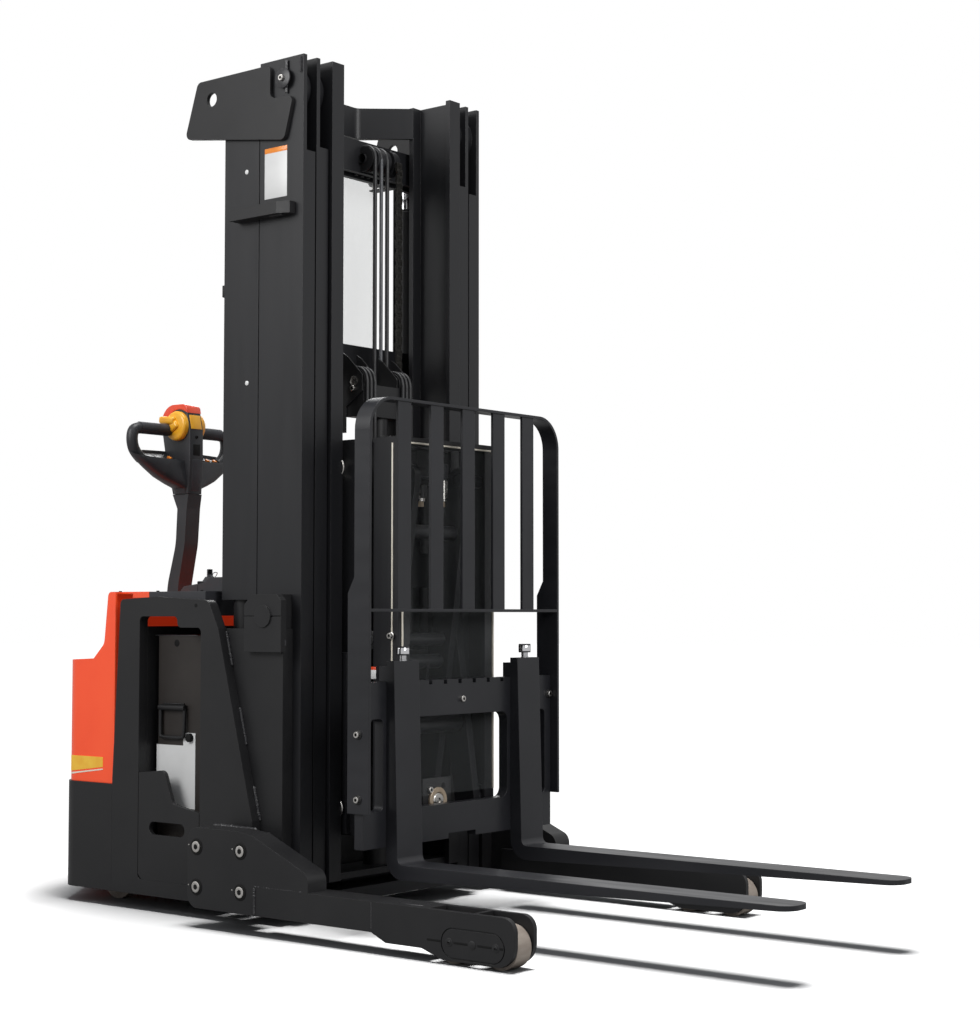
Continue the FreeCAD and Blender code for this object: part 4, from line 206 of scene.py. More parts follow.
class Finish:
    """One procedural finish, with its nodes joined up as they are added."""

    def __init__(self, name, roughness, metal=0.0, gloss=0.5, coat=0.0):
        self.material = bpy.data.materials.new(name)
        self.material.use_nodes = True
        self.tree = self.material.node_tree
        self.shader = self.tree.nodes["Principled BSDF"]
        self.place = self.tree.nodes.new("ShaderNodeTexCoord").outputs["Object"]
        self.shader.inputs["Metallic"].default_value = metal
        self.shader.inputs["Roughness"].default_value = roughness
        self.shader.inputs["Specular IOR Level"].default_value = gloss
        self.shader.inputs["Coat Weight"].default_value = coat
        self.shader.inputs["Coat Roughness"].default_value = 0.08
        self.normal = None

    def node(self, kind, **values):
        """A new node with its sockets set by name."""
        made = self.tree.nodes.new(kind)
        for key, value in values.items():
            made.inputs[key].default_value = value
        return made

    def join(self, start, end):
        """Joins two sockets."""
        self.tree.links.new(start, end)

    def noise(self, scale, detail, stretch):
        """Soft noise at so many waves to the metre, drawn out along an axis if asked."""
        waves = self.node("ShaderNodeTexNoise", Scale=scale, Detail=detail)
        place = self.place
        if stretch:
            drawn_out = self.node("ShaderNodeMapping", Scale=stretch)
            self.join(place, drawn_out.inputs["Vector"])
            place = drawn_out.outputs["Vector"]
        self.join(place, waves.inputs["Vector"])
        return waves.outputs["Fac"]

    def colour(self, low, high, scale=6.0, detail=4.0, stretch=None):
        """Two close colours in soft patches."""
        ramp = self.node("ShaderNodeValToRGB")
        for element, share, tint in zip(ramp.color_ramp.elements, PATCH_SHARES, (low, high)):
            element.position = share
            element.color = (*tint, 1)
        self.join(self.noise(scale, detail, stretch), ramp.inputs["Fac"])
        self.join(ramp.outputs["Color"], self.shader.inputs["Base Color"])
        return self

    def polish(self, low, high, scale=14.0, stretch=None):
        """Roughness that wanders between two values."""
        wander = ranged(self.tree, self.noise(scale, 5.0, stretch), low, high, *POLISH_SHARES)
        self.join(wander, self.shader.inputs["Roughness"])
        return self

    def round_edges(self, radius):
        """Light catches the edges as if they were rounded by so many metres."""
        edge = self.tree.nodes.new("ShaderNodeBevel")
        edge.samples = 4
        edge.inputs["Radius"].default_value = radius
        self.normal = edge.outputs["Normal"]
        self.join(self.normal, self.shader.inputs["Normal"])
        return self

    def grain(self, scale, depth, strength=0.5, stretch=None):
        """Fine relief, so many waves to the metre and so deep in metres."""
        bump = self.node("ShaderNodeBump", Strength=strength, Distance=depth)
        self.join(self.noise(scale, 4.0, stretch), bump.inputs["Height"])
        if self.normal:
            self.join(self.normal, bump.inputs["Normal"])
        self.normal = bump.outputs["Normal"]
        self.join(self.normal, self.shader.inputs["Normal"])
        return self


black_paint = Finish("black_paint", 0.42, gloss=0.34)
black_paint.colour((0.0125, 0.0125, 0.0135), (0.0165, 0.0163, 0.0172), 3.0)
black_paint.polish(0.36, 0.48).round_edges(0.0016).grain(900, 0.00012, 0.35)

mast_paint = Finish("mast_paint", 0.38, gloss=0.38)
mast_paint.colour((0.0112, 0.0114, 0.0130), (0.0148, 0.0150, 0.0170), 2.0, stretch=(1, 1, 0.15))
mast_paint.polish(0.32, 0.44, 9.0, (3, 3, 0.3)).round_edges(0.0018).grain(700, 0.0001, 0.3)

fork_paint = Finish("fork_paint", 0.34, gloss=0.42)
fork_paint.colour((0.0135, 0.0140, 0.0165), (0.0190, 0.0193, 0.0228), 4.0, stretch=(0.4, 1, 1))
fork_paint.polish(0.28, 0.42, 10.0, (0.5, 3, 3)).round_edges(0.0025).grain(500, 0.00007, 0.25)

weld_paint = Finish("weld_paint", 0.36, gloss=0.5)
weld_paint.colour((0.016, 0.016, 0.018), (0.034, 0.033, 0.036), 160).grain(1400, 0.0003, 0.6)

battery_paint = Finish("battery_paint", 0.5, gloss=0.3)
battery_paint.colour((0.026, 0.022, 0.020), (0.036, 0.031, 0.028), 5.0)
battery_paint.polish(0.42, 0.55).round_edges(0.0015).grain(1100, 0.0001, 0.3)

orange_paint = Finish("orange_paint", 0.24, gloss=0.5, coat=0.35)
orange_paint.colour((0.900, 0.078, 0.018), (0.960, 0.096, 0.024), 5.0)
orange_paint.round_edges(0.004).grain(380, 0.00008, 0.25)
# A painted glow: the orange gives off a little light of its own, to brighten the hood.
orange_paint.shader.inputs["Emission Color"].default_value = (0.95, 0.075, 0.02, 1)
orange_paint.shader.inputs["Emission Strength"].default_value = 0.16

amber_paint = Finish("amber_paint", 0.3, coat=0.3)
amber_paint.colour((0.95, 0.50, 0.035), (1.0, 0.60, 0.055), 30.0).grain(500, 0.00005, 0.2)

# Cream for the hood's pale line, and the same cream as painted highlights along the clear shield's edges.
cream_paint_and_highlight = Finish("cream_paint_and_highlight", 0.35)
cream_paint_and_highlight.colour((0.80, 0.74, 0.62), (0.90, 0.84, 0.72), 40.0).grain(500, 0.00005, 0.2)

cover_plastic = Finish("cover_plastic", 0.36, gloss=0.45)
cover_plastic.colour((0.028, 0.029, 0.033), (0.036, 0.037, 0.042), 6.0)
cover_plastic.polish(0.30, 0.42, 20).round_edges(0.004).grain(2400, 0.00008, 0.45)

handle_plastic = Finish("handle_plastic", 0.42, gloss=0.45)
handle_plastic.colour((0.020, 0.021, 0.024), (0.027, 0.028, 0.032), 12.0)
handle_plastic.polish(0.36, 0.5, 25).grain(2600, 0.0001, 0.5)

grip_rubber = Finish("grip_rubber", 0.6, gloss=0.35)
grip_rubber.colour((0.030, 0.031, 0.036), (0.042, 0.043, 0.050), 30.0).grain(1800, 0.0002, 0.6)

knob_plastic = Finish("knob_plastic", 0.28, coat=0.2)
knob_plastic.colour((0.88, 0.40, 0.018), (0.98, 0.50, 0.030), 18.0).grain(900, 0.00006, 0.3)

switch_plastic = Finish("switch_plastic", 0.3, coat=0.2)
switch_plastic.colour((0.85, 0.22, 0.012), (0.95, 0.30, 0.020), 40.0).grain(900, 0.00005, 0.3)

belly_plastic = Finish("belly_plastic", 0.22, coat=0.5)
belly_plastic.colour((0.82, 0.060, 0.016), (0.90, 0.085, 0.024), 18.0).grain(700, 0.00005, 0.2)

# Grey plastic of the tray's pads, also used as the painted highlight of one mast hose.
pad_plastic_and_hose_highlight = Finish("pad_plastic_and_hose_highlight", 0.4)
pad_plastic_and_hose_highlight.colour((0.085, 0.088, 0.096), (0.11, 0.113, 0.12), 40.0).grain(2200, 0.00008, 0.4)

stop_plastic = Finish("stop_plastic", 0.3, coat=0.3)
stop_plastic.colour((0.19, 0.012, 0.016), (0.26, 0.018, 0.022), 40.0).grain(900, 0.00005, 0.3)

plate_white = Finish("plate_white", 0.35)
plate_white.colour((0.74, 0.74, 0.73), (0.80, 0.80, 0.79), 12.0).grain(500, 0.00003, 0.2)

bright_steel = Finish("bright_steel", 0.26, metal=1.0)
bright_steel.colour((0.60, 0.58, 0.55), (0.74, 0.72, 0.69), 90.0)
bright_steel.polish(0.2, 0.36, 120).grain(1500, 0.00005, 0.3)

chrome_bar = Finish("chrome_bar", 0.12, metal=1.0)
chrome_bar.colour((0.70, 0.70, 0.72), (0.78, 0.78, 0.80), 20.0)
chrome_bar.polish(0.08, 0.16, 30).grain(900, 0.00002, 0.2)

oiled_steel = Finish("oiled_steel", 0.42, metal=0.7, gloss=0.5)
oiled_steel.colour((0.030, 0.029, 0.027), (0.070, 0.066, 0.060), 220.0).polish(0.3, 0.5, 300)
oiled_steel.grain(1600, 0.00015, 0.5)

hose_rubber = Finish("hose_rubber", 0.45, gloss=0.5)
hose_rubber.colour((0.012, 0.012, 0.013), (0.020, 0.020, 0.022), 50.0).grain(1500, 0.0002, 0.5)

wheel_plastic = Finish("wheel_plastic", 0.55, gloss=0.35)
wheel_plastic.colour((0.27, 0.225, 0.190), (0.36, 0.31, 0.265), 45.0, 5.0, (1, 0.3, 1))
wheel_plastic.polish(0.45, 0.7, 60).grain(600, 0.0003, 0.5)

drive_rubber = Finish("drive_rubber", 0.6, gloss=0.35)
drive_rubber.colour((0.020, 0.019, 0.018), (0.034, 0.032, 0.030), 45.0).grain(700, 0.0004, 0.6)

# Near black: the colour of some dark parts, and painted shade in sockets, holes, slots and recesses.
near_black_and_recess_shade = Finish("near_black_and_recess_shade", 0.6, gloss=0.2)
near_black_and_recess_shade.colour((0.003, 0.003, 0.003), (0.005, 0.005, 0.005), 30.0).grain(900, 0.0001, 0.3)

bush_bronze = Finish("bush_bronze", 0.4, metal=0.3)
bush_bronze.colour((0.40, 0.31, 0.22), (0.52, 0.42, 0.31), 40.0).grain(900, 0.0001, 0.3)


def clear_finish(name, tint, share):
    """A thin clear sheet: mostly see-through, with a tinted skin."""
    sheet = Finish(name, 0.12, gloss=0.06)
    sheet.colour(tint, tuple(part * 1.02 for part in tint), 4.0)
    sheet.shader.inputs["Alpha"].default_value = share
    return sheet


guard_sheet = clear_finish("guard_sheet", (0.86, 0.89, 0.88), 0.22)
shield_sheet = clear_finish("shield_sheet", (0.60, 0.63, 0.63), 0.022)


def paint(finish, *names):
    """Gives CAD nodes their finish."""
    for name in names:
        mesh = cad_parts[name].data
        mesh.materials.clear()
        mesh.materials.append(finish.material)


paint(black_paint, "side_frame_left", "side_frame_right", "base_frame", "mast_gussets", "rear_skirt",
      "battery_gates", "lifting_lugs", "rail_clamps", "side_bars", "outrigger_left", "outrigger_right",
      "bogies", "drive_unit", "caster_fork_left", "caster_fork_right", "lift_cylinders",
      "free_lift_cylinder", "free_lift_crosshead", "valve_block", "reach_cylinder")
paint(mast_paint, "outer_rails", "outer_crossbeams", "mast_covers", "middle_rails", "middle_crossbeams",
      "inner_rails", "inner_crossbeams", "lift_carriage", "reach_frame", "reach_arms_outer",
      "reach_arms_inner")
paint(fork_paint, "fork_left", "fork_right", "fork_plate", "backrest")
paint(orange_paint, "hood")
paint(cover_plastic, "top_cover", "console")
paint(battery_paint, "battery")
paint(guard_sheet, "mast_guard")
paint(shield_sheet, "clear_shield")
paint(chrome_bar, "lift_rods", "reach_rod")
paint(stop_plastic, "emergency_button")
paint(handle_plastic, "tiller_arm", "tiller_head")
paint(knob_plastic, "travel_knobs")
paint(oiled_steel, "mast_chains")
paint(drive_rubber, "drive_wheel")
paint(wheel_plastic, "caster_wheel_left", "caster_wheel_right", "load_wheel_front_left",
      "load_wheel_front_right", "load_wheel_rear_left", "load_wheel_rear_right")


# Making and placing pieces.

def keep_mesh(shape, name):
    """Turns a finished bmesh into a mesh."""
    mesh = bpy.data.meshes.new(name)
    shape.to_mesh(mesh)
    shape.free()
    return mesh


def add_piece(name, mesh, finish, body, sharp):
    """Puts a mesh on a body of the truck, with its finish."""
    mesh.materials.clear()
    mesh.materials.append(finish.material)
    mesh.shade_smooth()
    mesh.set_sharp_from_angle(angle=math.radians(sharp))
    thing = bpy.data.objects.new(name, mesh)
    bpy.context.collection.objects.link(thing)
    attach(thing, body)
    return thing


def facing(place, axis, turn=0.0):
    """A placement at a spot whose own Z points along an axis."""
    return (Matrix.Translation(place) @ Vector(axis).to_track_quat("Z", "Y").to_matrix().to_4x4()
            @ Matrix.Rotation(turn, 4, "Z"))


def repeat(template, placements, name):
    """One mesh of many copies of a template."""
    shape = bmesh.new()
    for placement in placements:
        first = len(shape.verts)
        shape.from_mesh(template)
        shape.verts.ensure_lookup_table()
        bmesh.ops.transform(shape, matrix=placement, verts=shape.verts[first:])
    return keep_mesh(shape, name)


def ring_up(shape, edges, scale, rise):
    """Extrudes a loop upwards and scales it about its own axis."""
    made = bmesh.ops.extrude_edge_only(shape, edges=edges)["geom"]
    points = [part for part in made if isinstance(part, bmesh.types.BMVert)]
    bmesh.ops.translate(shape, verts=points, vec=(0, 0, rise))
    bmesh.ops.scale(shape, verts=points, vec=(scale, scale, 1))
    return [part for part in made if isinstance(part, bmesh.types.BMEdge)
            and all(point in points for point in part.verts)]


def turned(profile, segments, name, close_top=True):
    """A round piece from a table of radius and height."""
    shape = bmesh.new()
    radius, height = profile[0]
    bmesh.ops.create_circle(shape, cap_ends=False, radius=radius, segments=segments,
                            matrix=Matrix.Translation((0, 0, height)))
    loop = list(shape.edges)
    for next_radius, next_height in profile[1:]:
        loop = ring_up(shape, loop, next_radius / radius, next_height - height)
        radius, height = next_radius, next_height
    if close_top:
        bmesh.ops.contextual_create(shape, geom=loop)
    bmesh.ops.recalc_face_normals(shape, faces=shape.faces)
    return keep_mesh(shape, name)


def socket_screw(radius, height, name):
    """A socket-head screw with its hexagon recess."""
    shape = bmesh.new()
    bmesh.ops.create_circle(shape, cap_ends=False, radius=radius, segments=24)
    loop = ring_up(shape, list(shape.edges), 1, height * 0.86)
    loop = ring_up(shape, loop, 0.88, height * 0.14)
    loop = ring_up(shape, loop, 0.84, 0)
    hexagon = bmesh.ops.create_circle(shape, cap_ends=False, radius=radius * 0.52, segments=6,
                                      matrix=Matrix.Translation((0, 0, height)))
    inner = list({edge for point in hexagon["verts"] for edge in point.link_edges})
    bmesh.ops.bridge_loops(shape, edges=loop + inner)
    floor = ring_up(shape, inner, 0.96, -height * 0.62)
    bmesh.ops.contextual_create(shape, geom=floor)
    bmesh.ops.recalc_face_normals(shape, faces=shape.faces)
    return keep_mesh(shape, name)


def swept(points, radius, name, around=10, order=4, widths=None):
    """A round bar along a smooth line through its control points."""
    curve = bpy.data.curves.new(name, "CURVE")
    curve.dimensions = "3D"
    spline = curve.splines.new("NURBS" if order > 2 else "POLY")
    spline.points.add(len(points) - 1)
    for index, (point, place) in enumerate(zip(spline.points, points)):
        point.co = (*place, 1)
        point.radius = widths[index] if widths else 1
    if order > 2:
        spline.order_u = order
        spline.use_endpoint_u = True
        spline.resolution_u = 8
    curve.bevel_depth = radius
    curve.bevel_resolution = max(0, around // 2 - 2)
    curve.use_fill_caps = True
    holder = bpy.data.objects.new(name, curve)
    mesh = bpy.data.meshes.new_from_object(holder)
    bpy.data.objects.remove(holder)
    bpy.data.curves.remove(curve)
    return mesh


def together(meshes, name):
    """Several meshes in one."""
    shape = bmesh.new()
    for mesh in meshes:
        shape.from_mesh(mesh)
    return keep_mesh(shape, name)


chance = random.Random(11)

# A weld's ripples, as shares of the bead's radius but for RIPPLE_TURN, which is in radians.
RIPPLE_STEP, RIPPLE_TURN = 0.55, 1.15
LEAST_WIDTH, RIPPLE_WIDTH, CHANCE_WIDTH, SWAY = 0.78, 0.24, 0.14, 0.25


def bead(corners, radius, name="bead"):
    """A rippled weld bead along straight runs between corners."""
    places = []
    for start, end in zip(corners, corners[1:]):
        count = max(2, int((end - start).length / (radius * RIPPLE_STEP)))
        places += [start.lerp(end, step / count) for step in range(count)]
    places.append(corners[-1])
    ripples = [abs(math.sin(index * RIPPLE_TURN)) for index in range(len(places))]
    widths = [LEAST_WIDTH + RIPPLE_WIDTH * ripple + CHANCE_WIDTH * chance.random() for ripple in ripples]
    wander = [place + Vector([(chance.random() - 0.5) * radius * SWAY for axis in range(3)])
              for place in places]
    return swept(wander, radius, name, 8, 2, widths)


# Shapes in millimetres: blocks, outlines, rings and mirrored pairs.

def slab(low, high, soft=1.0, segments=2, turn=None):
    """A block between two corners, with softened edges, turned about its middle if asked."""
    low_spot, high_spot = spot(*low), spot(*high)
    shape = bmesh.new()
    bmesh.ops.create_cube(shape, size=1, matrix=Matrix.Diagonal((*(high_spot - low_spot), 1)))
    if soft:
        bmesh.ops.bevel(shape, geom=shape.edges[:], offset=soft * MM, segments=segments, profile=0.5,
                        affect="EDGES", clamp_overlap=True, material=-1)
    place = Matrix.Translation((low_spot + high_spot) / 2)
    bmesh.ops.transform(shape, matrix=place @ turn if turn else place, verts=shape.verts)
    return keep_mesh(shape, "slab")


STANDING = {
    "x": Matrix(((0, 0, 1, 0), (1, 0, 0, 0), (0, 1, 0, 0), (0, 0, 0, 1))),
    "y": Matrix(((1, 0, 0, 0), (0, 0, -1, 0), (0, 1, 0, 0), (0, 0, 0, 1))),
    "z": Matrix.Identity(4),
}


def outlined(outline, axis, low, high, soft=0.0):
    """A plate with an outline, square to an axis, between two places on it."""
    curve = bpy.data.curves.new("outline", "CURVE")
    curve.dimensions = "2D"
    curve.fill_mode = "BOTH"
    spline = curve.splines.new("POLY")
    spline.points.add(len(outline) - 1)
    for point, (across, up) in zip(spline.points, outline):
        point.co = (across * MM, up * MM, 0, 1)
    spline.use_cyclic_u = True
    curve.extrude = abs(high - low) / 2 * MM - soft * MM
    curve.bevel_depth = soft * MM
    curve.offset = -soft * MM
    curve.bevel_resolution = 2
    holder = bpy.data.objects.new("outline", curve)
    mesh = bpy.data.meshes.new_from_object(holder)
    bpy.data.objects.remove(holder)
    bpy.data.curves.remove(curve)
    middle = (low + high) / 2 * MM
    shift = {"x": (middle + MAST_FRONT * MM, 0, 0), "y": (MAST_FRONT * MM, middle, 0),
             "z": (MAST_FRONT * MM, 0, middle)}[axis]
    shape = bmesh.new()
    shape.from_mesh(mesh)
    bmesh.ops.remove_doubles(shape, verts=shape.verts, dist=1e-6)
    bmesh.ops.transform(shape, matrix=Matrix.Translation(shift) @ STANDING[axis], verts=shape.verts)
    bmesh.ops.recalc_face_normals(shape, faces=shape.faces)
    return keep_mesh(shape, "outline")


def arc(across, up, radius, start, end, steps=12):
    """Points on an arc, from one angle to another in degrees."""
    turns = [math.radians(start + (end - start) * step / steps) for step in range(steps + 1)]
    return [(across + radius * math.cos(turn), up + radius * math.sin(turn)) for turn in turns]


def lathe(profile, place, axis, segments=28, close_top=True):
    """A round piece at a place, from radius and height along an axis in millimetres."""
    mesh = turned([(radius * MM, height * MM) for radius, height in profile], segments, "lathe", close_top)
    return repeat(mesh, [facing(spot(*place), axis)], "lathe")


def pipe(points, radius, around=10, order=4):
    """A round bar along control points."""
    return swept([spot(*point) for point in points], radius * MM, "pipe", around, order)


def weld(points, radius):
    """A weld bead along straight runs."""
    return bead([spot(*point) for point in points], radius * MM)


def paired(mesh):
    """A mesh together with its mirror image on the truck's other side."""
    shape = bmesh.new()
    shape.from_mesh(mesh)
    count = len(shape.verts)
    faces = len(shape.faces)
    shape.from_mesh(mesh)
    shape.verts.ensure_lookup_table()
    shape.faces.ensure_lookup_table()
    bmesh.ops.scale(shape, verts=shape.verts[count:], vec=(1, -1, 1))
    bmesh.ops.reverse_faces(shape, faces=shape.faces[faces:])
    return keep_mesh(shape, "pair")


def dress(name, meshes, finish, body, pair=False, sharp=35):
    """One dressed piece of several meshes, on both sides if asked."""
    mesh = together(meshes, name)
    return add_piece(name, paired(mesh) if pair else mesh, finish, body, sharp)


def placed(template, places, axis, turn=0.4):
    """Copies of a template at places in millimetres, all facing one way."""
    return repeat(template, [facing(spot(*place), axis, turn) for place in places], "placed")


# Straddle legs: screws in their seats, welds, slots and plugs, with dark pieces of painted shade in the
# screws' sockets, round their seats and in the slots.

leg_face, leg_top, slot_line = -557, 125, 52.5
bolt_spots = [(x, leg_face, z) for x in (-204, -40) for z in (211.5, 106.5)]
disc_spots = [(x, leg_face, slot_line) for x in (660, 800)]
big_screw = socket_screw(0.0145, 0.0042, "big_screw")
mid_screw = socket_screw(0.0085, 0.008, "mid_screw")
small_screw = socket_screw(0.0045, 0.003, "small_screw")
# A dark ring of painted shade, standing for the counterbore round each screw.
counterbore_shade_ring = turned([(0.0222, 0.0), (0.0222, 0.0007), (0.0212, 0.0012), (0.0150, 0.0012)], 28, "counterbore_shade_ring",
                   False)
plug_ring = [(16, 0), (16, 1.0), (14.6, 1.4), (13.4, 1.0), (13.4, 0)]
dress("leg_screws", [placed(big_screw, bolt_spots, OUTWARD)], bright_steel, "chassis", True)
# A dark hexagon of painted shade in each screw's socket.
dress("leg_screw_socket_shade", [lathe([(7.4, 0), (7.4, 4.5)], place, OUTWARD, 6) for place in bolt_spots],
      near_black_and_recess_shade, "chassis", True)
dress("leg_screw_counterbore_shade", [placed(counterbore_shade_ring, bolt_spots, OUTWARD)], near_black_and_recess_shade, "chassis", pair=True)
dress("leg_screw_nicks", [slab((x - 32, y - 0.5, z + 2), (x - 28, y + 0.3, z + 5), 0.2)
                          for x, y, z in bolt_spots], bright_steel, "chassis", True)
dress("leg_welds", [
    weld([(12, leg_face - 0.5, 54), (12, leg_face - 0.5, 122)], 3.0),
    weld([(12, leg_face + 4, leg_top + 1), (190, leg_face + 4, leg_top + 1)], 4.0),
    weld([(-216, -481, 260), (-64, -481, 258), (-40, -481, 240), (-37, -481, 204)], 6.5),
    weld([(-190, -478, 254), (-70, -476, 252)], 5.0),
    weld([(414, leg_face + 0.6, 60), (414, leg_face + 0.6, 123)], 1.6)], weld_paint, "chassis", pair=True)
# Dark blocks of painted shade in the slots.
dress("leg_slot_shade", [slab((start, leg_face - 0.35, 50), (end, leg_face + 0.4, 55.5), 0.2)
                    for start, end in ((592, 634), (674, 716), (746, 788), (812, 822))],
      near_black_and_recess_shade, "chassis", pair=True)
dress("leg_cover_discs", [placed(small_screw, disc_spots, OUTWARD),
                          lathe([(10.5, 0), (10.5, 0.7), (9.8, 1.1)], (730, leg_face, slot_line), OUTWARD)]
      + [lathe([(10.5, 0), (10.5, 0.5), (9.8, 0.8)], place, OUTWARD) for place in disc_spots],
      black_paint, "chassis", pair=True)
dress("leg_plugs", [lathe(plug_ring, (x, -514, leg_top), UP, 26, False) for x in (487, 552)]
      + [pipe([(505, -534, 125.4), (530, -540, 125.4), (560, -532, 125.4)], 1.2, 6)], weld_paint, "chassis",
      pair=True)


# Side frames and gussets: welds, and holes shown as dark discs of painted shade.

gusset_face = -417
edge_top, edge_x, edge_lean = 785, -245, 0.2642


def frame_edge(z):
    """A place on the side frame's slanted front edge, at a height."""
    return (edge_x + (edge_top - z) * edge_lean, gusset_face, z)


dress("gusset_welds", [weld([frame_edge(start), frame_edge(end)], 4.5)
                       for start, end in ((777, 686), (572, 475), (363, 276))]
      + [weld([(x, gusset_face, z) for x, z in ((-24, 768), (-22, 742), (-38, 722))], 4.5),
         weld([(x, gusset_face, z) for x, z in ((-240, 262), (-224, 272), (-150, 268), (-118, 262))], 4.0)],
      weld_paint, "chassis", pair=True)
dress("frame_hole_shade", [lathe([(5.5, 0), (5.5, 0.5), (4.6, 0.6)], (-335, -445, 848), OUTWARD, 16)],
      near_black_and_recess_shade, "chassis", pair=True)


# Battery: handle on its hinge bar, filler hole as a dark disc of painted shade, rubber stop and blank
# plate.

case = -390
handle_rear, handle_front, handle_foot, hinge = -527, -428, 480, 562
dress("battery_handles", [
    pipe([(handle_rear, case - 7, hinge), (handle_rear, case - 9, handle_foot + 6),
          (handle_rear + 6, case - 9, handle_foot), (handle_front - 6, case - 9, handle_foot),
          (handle_front, case - 9, handle_foot + 6), (handle_front, case - 7, hinge)], 5.0, 12, 3),
    pipe([(handle_rear - 3, case - 8, hinge + 1), (handle_front + 3, case - 8, hinge + 1)], 8.5, 14, 2),
    weld([(-520, case - 1, hinge + 11), (-436, case - 1, hinge + 11)], 2.5)], black_paint, "chassis",
      pair=True)
dress("battery_stops_and_hole_shade", [lathe([(12, 0), (12, 9), (10.5, 11), (5, 11.5)], (-411, case, 481), OUTWARD),
                        # The filler hole: a dark disc of painted shade.
                        lathe([(10, -0.1), (10, 0.5), (9, 0.7)], (-470, case, 743), OUTWARD)],
      near_black_and_recess_shade, "chassis", pair=True)
dress("battery_plates", [
    outlined([(-549, 284), (-391, 284), (-391, 494), (-440, 494), (-440, 458), (-549, 458)],
             "y", case - 0.9, case - 0.2)], plate_white, "chassis", True, 20)
dress("battery_straps", [slab((-560, case - 1.2, 763), (-385, case + 6, 766), 1.0)], weld_paint, "chassis",
      pair=True)


# Hood: amber strip with its pale line, lid screws, console lock with its key, and the stop button.

strip_rear, strip_front = -861, -722
amber_face, line_face, hood_face = -439.9, -439.8, -439.1
lid_top, key_line = 887.7, -190
lock = (-552, key_line, 913)
dress("amber_strips", [outlined([(strip_rear, 371), (strip_front, 388), (strip_front, 416),
                                 (strip_rear, 416)], "y", amber_face, hood_face)],
      amber_paint, "chassis", True, 20)
dress("pale_lines", [outlined([(strip_rear, 362), (strip_front, 380), (strip_front, 383.5),
                               (strip_rear, 366.5)], "y", line_face, hood_face)],
      cream_paint_and_highlight, "chassis", True, 20)
dress("lid_screws", [placed(small_screw, [(x, -400, lid_top) for x in (-700, -540, -360)], UP)],
      near_black_and_recess_shade, "chassis", pair=True)
dress("console_seams", [slab((-528, -260.4, 889), (-526, 260.4, 916.3), 0.2)], near_black_and_recess_shade, "chassis")
dress("key_lock", [
    lathe([(24, -1), (24, 3), (21, 8), (15, 17), (13, 20), (9, 21)], lock, UP),
    slab((-594, -202, 912), (-560, -178, 921), 3.5, 3)], handle_plastic, "chassis")
dress("key", [
    slab((-553.2, -201, 930), (-550.8, -179, 956), 0.8),
    pipe([(-552, -176, 944), (-546, -166, 950), (-552, -158, 942), (-560, -164, 930), (-556, -176, 934),
          (-552, -178, 944)], 1.3, 8)], chrome_bar, "chassis")
stop_button = dress("stop_button", [
    lathe([(15, 0), (15, 8), (13, 9), (13, 15), (17.5, 16.5), (19.8, 19), (19.8, 26), (18.5, 29.5),
           (12, 31.5), (4, 31.8)], (-445, key_line, 930.1), UP, 36)], stop_plastic, "chassis")
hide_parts("emergency_button")


# Tiller head: column, bowl, round grips, orange cap, travel knobs and switches.

steer = -880
neck, grip_height = 1196, 1394
grip, knob_middle = steer - 12, steer + 12
hub_height = 1407
column = outlined(
    [(steer - 13, neck), (steer + 58, neck), (steer + 64, 1300), (steer + 63, 1395), (steer + 51, 1446)]
    + arc(steer + 26, 1450, 24, 40, 90, 5) + arc(steer - 10, 1420, 54, 90, 180, 10)
    + [(steer - 64, 1395), (steer - 45, 1300)], "y", -28, 28, 3)

# The bowl from its neck up, over its lip and down to the tray: half of its length and width, how far its
# middle is ahead of the steering axis, its height, and how far its front edge dips below that.
BOWL_LEVELS = ((34, 36, 22, 1196, 0), (36, 40, 20, 1212, 0), (40, 78, 14, 1226, 2), (43, 118, 8, 1244, 5),
               (45, 156, 2, 1270, 9), (46, 184, -3, 1292, 13), (46, 200, -5, 1310, 16),
               (43, 203, -5, 1316, 16), (39, 190, -5, 1311, 16), (37, 184, -5, 1306, 16))
OVAL_ALONG, OVAL_ACROSS = 0.72, 0.86


def squared(part, power):
    """One coordinate of a unit circle, moved outwards so that the circle becomes a soft oval."""
    return abs(part) ** power * (1 if part > 0 else -1)


def bowl_ring(shape, half_x, half_y, middle, height, tilt):
    """One level of the bowl: a soft oval, tilted forward."""
    points = bmesh.ops.create_circle(shape, cap_ends=False, radius=1, segments=40)["verts"]
    for point in points:
        ahead = squared(point.co.x, OVAL_ALONG)
        side = squared(point.co.y, OVAL_ACROSS)
        point.co = spot(middle + ahead * half_x, side * half_y, height - tilt * ahead)
    return list({edge for point in points for edge in point.link_edges})


def bowl_form():
    """The handle's bowl, from its neck up to the tilted tray."""
    shape = bmesh.new()
    rings = [bowl_ring(shape, half_x, half_y, steer + middle, height, tilt)
             for half_x, half_y, middle, height, tilt in BOWL_LEVELS]
    for low, high in zip(rings, rings[1:]):
        bmesh.ops.bridge_loops(shape, edges=low + high)
    bmesh.ops.contextual_create(shape, geom=rings[-1])
    bmesh.ops.contextual_create(shape, geom=rings[0])
    bmesh.ops.recalc_face_normals(shape, faces=shape.faces)
    return keep_mesh(shape, "bowl")


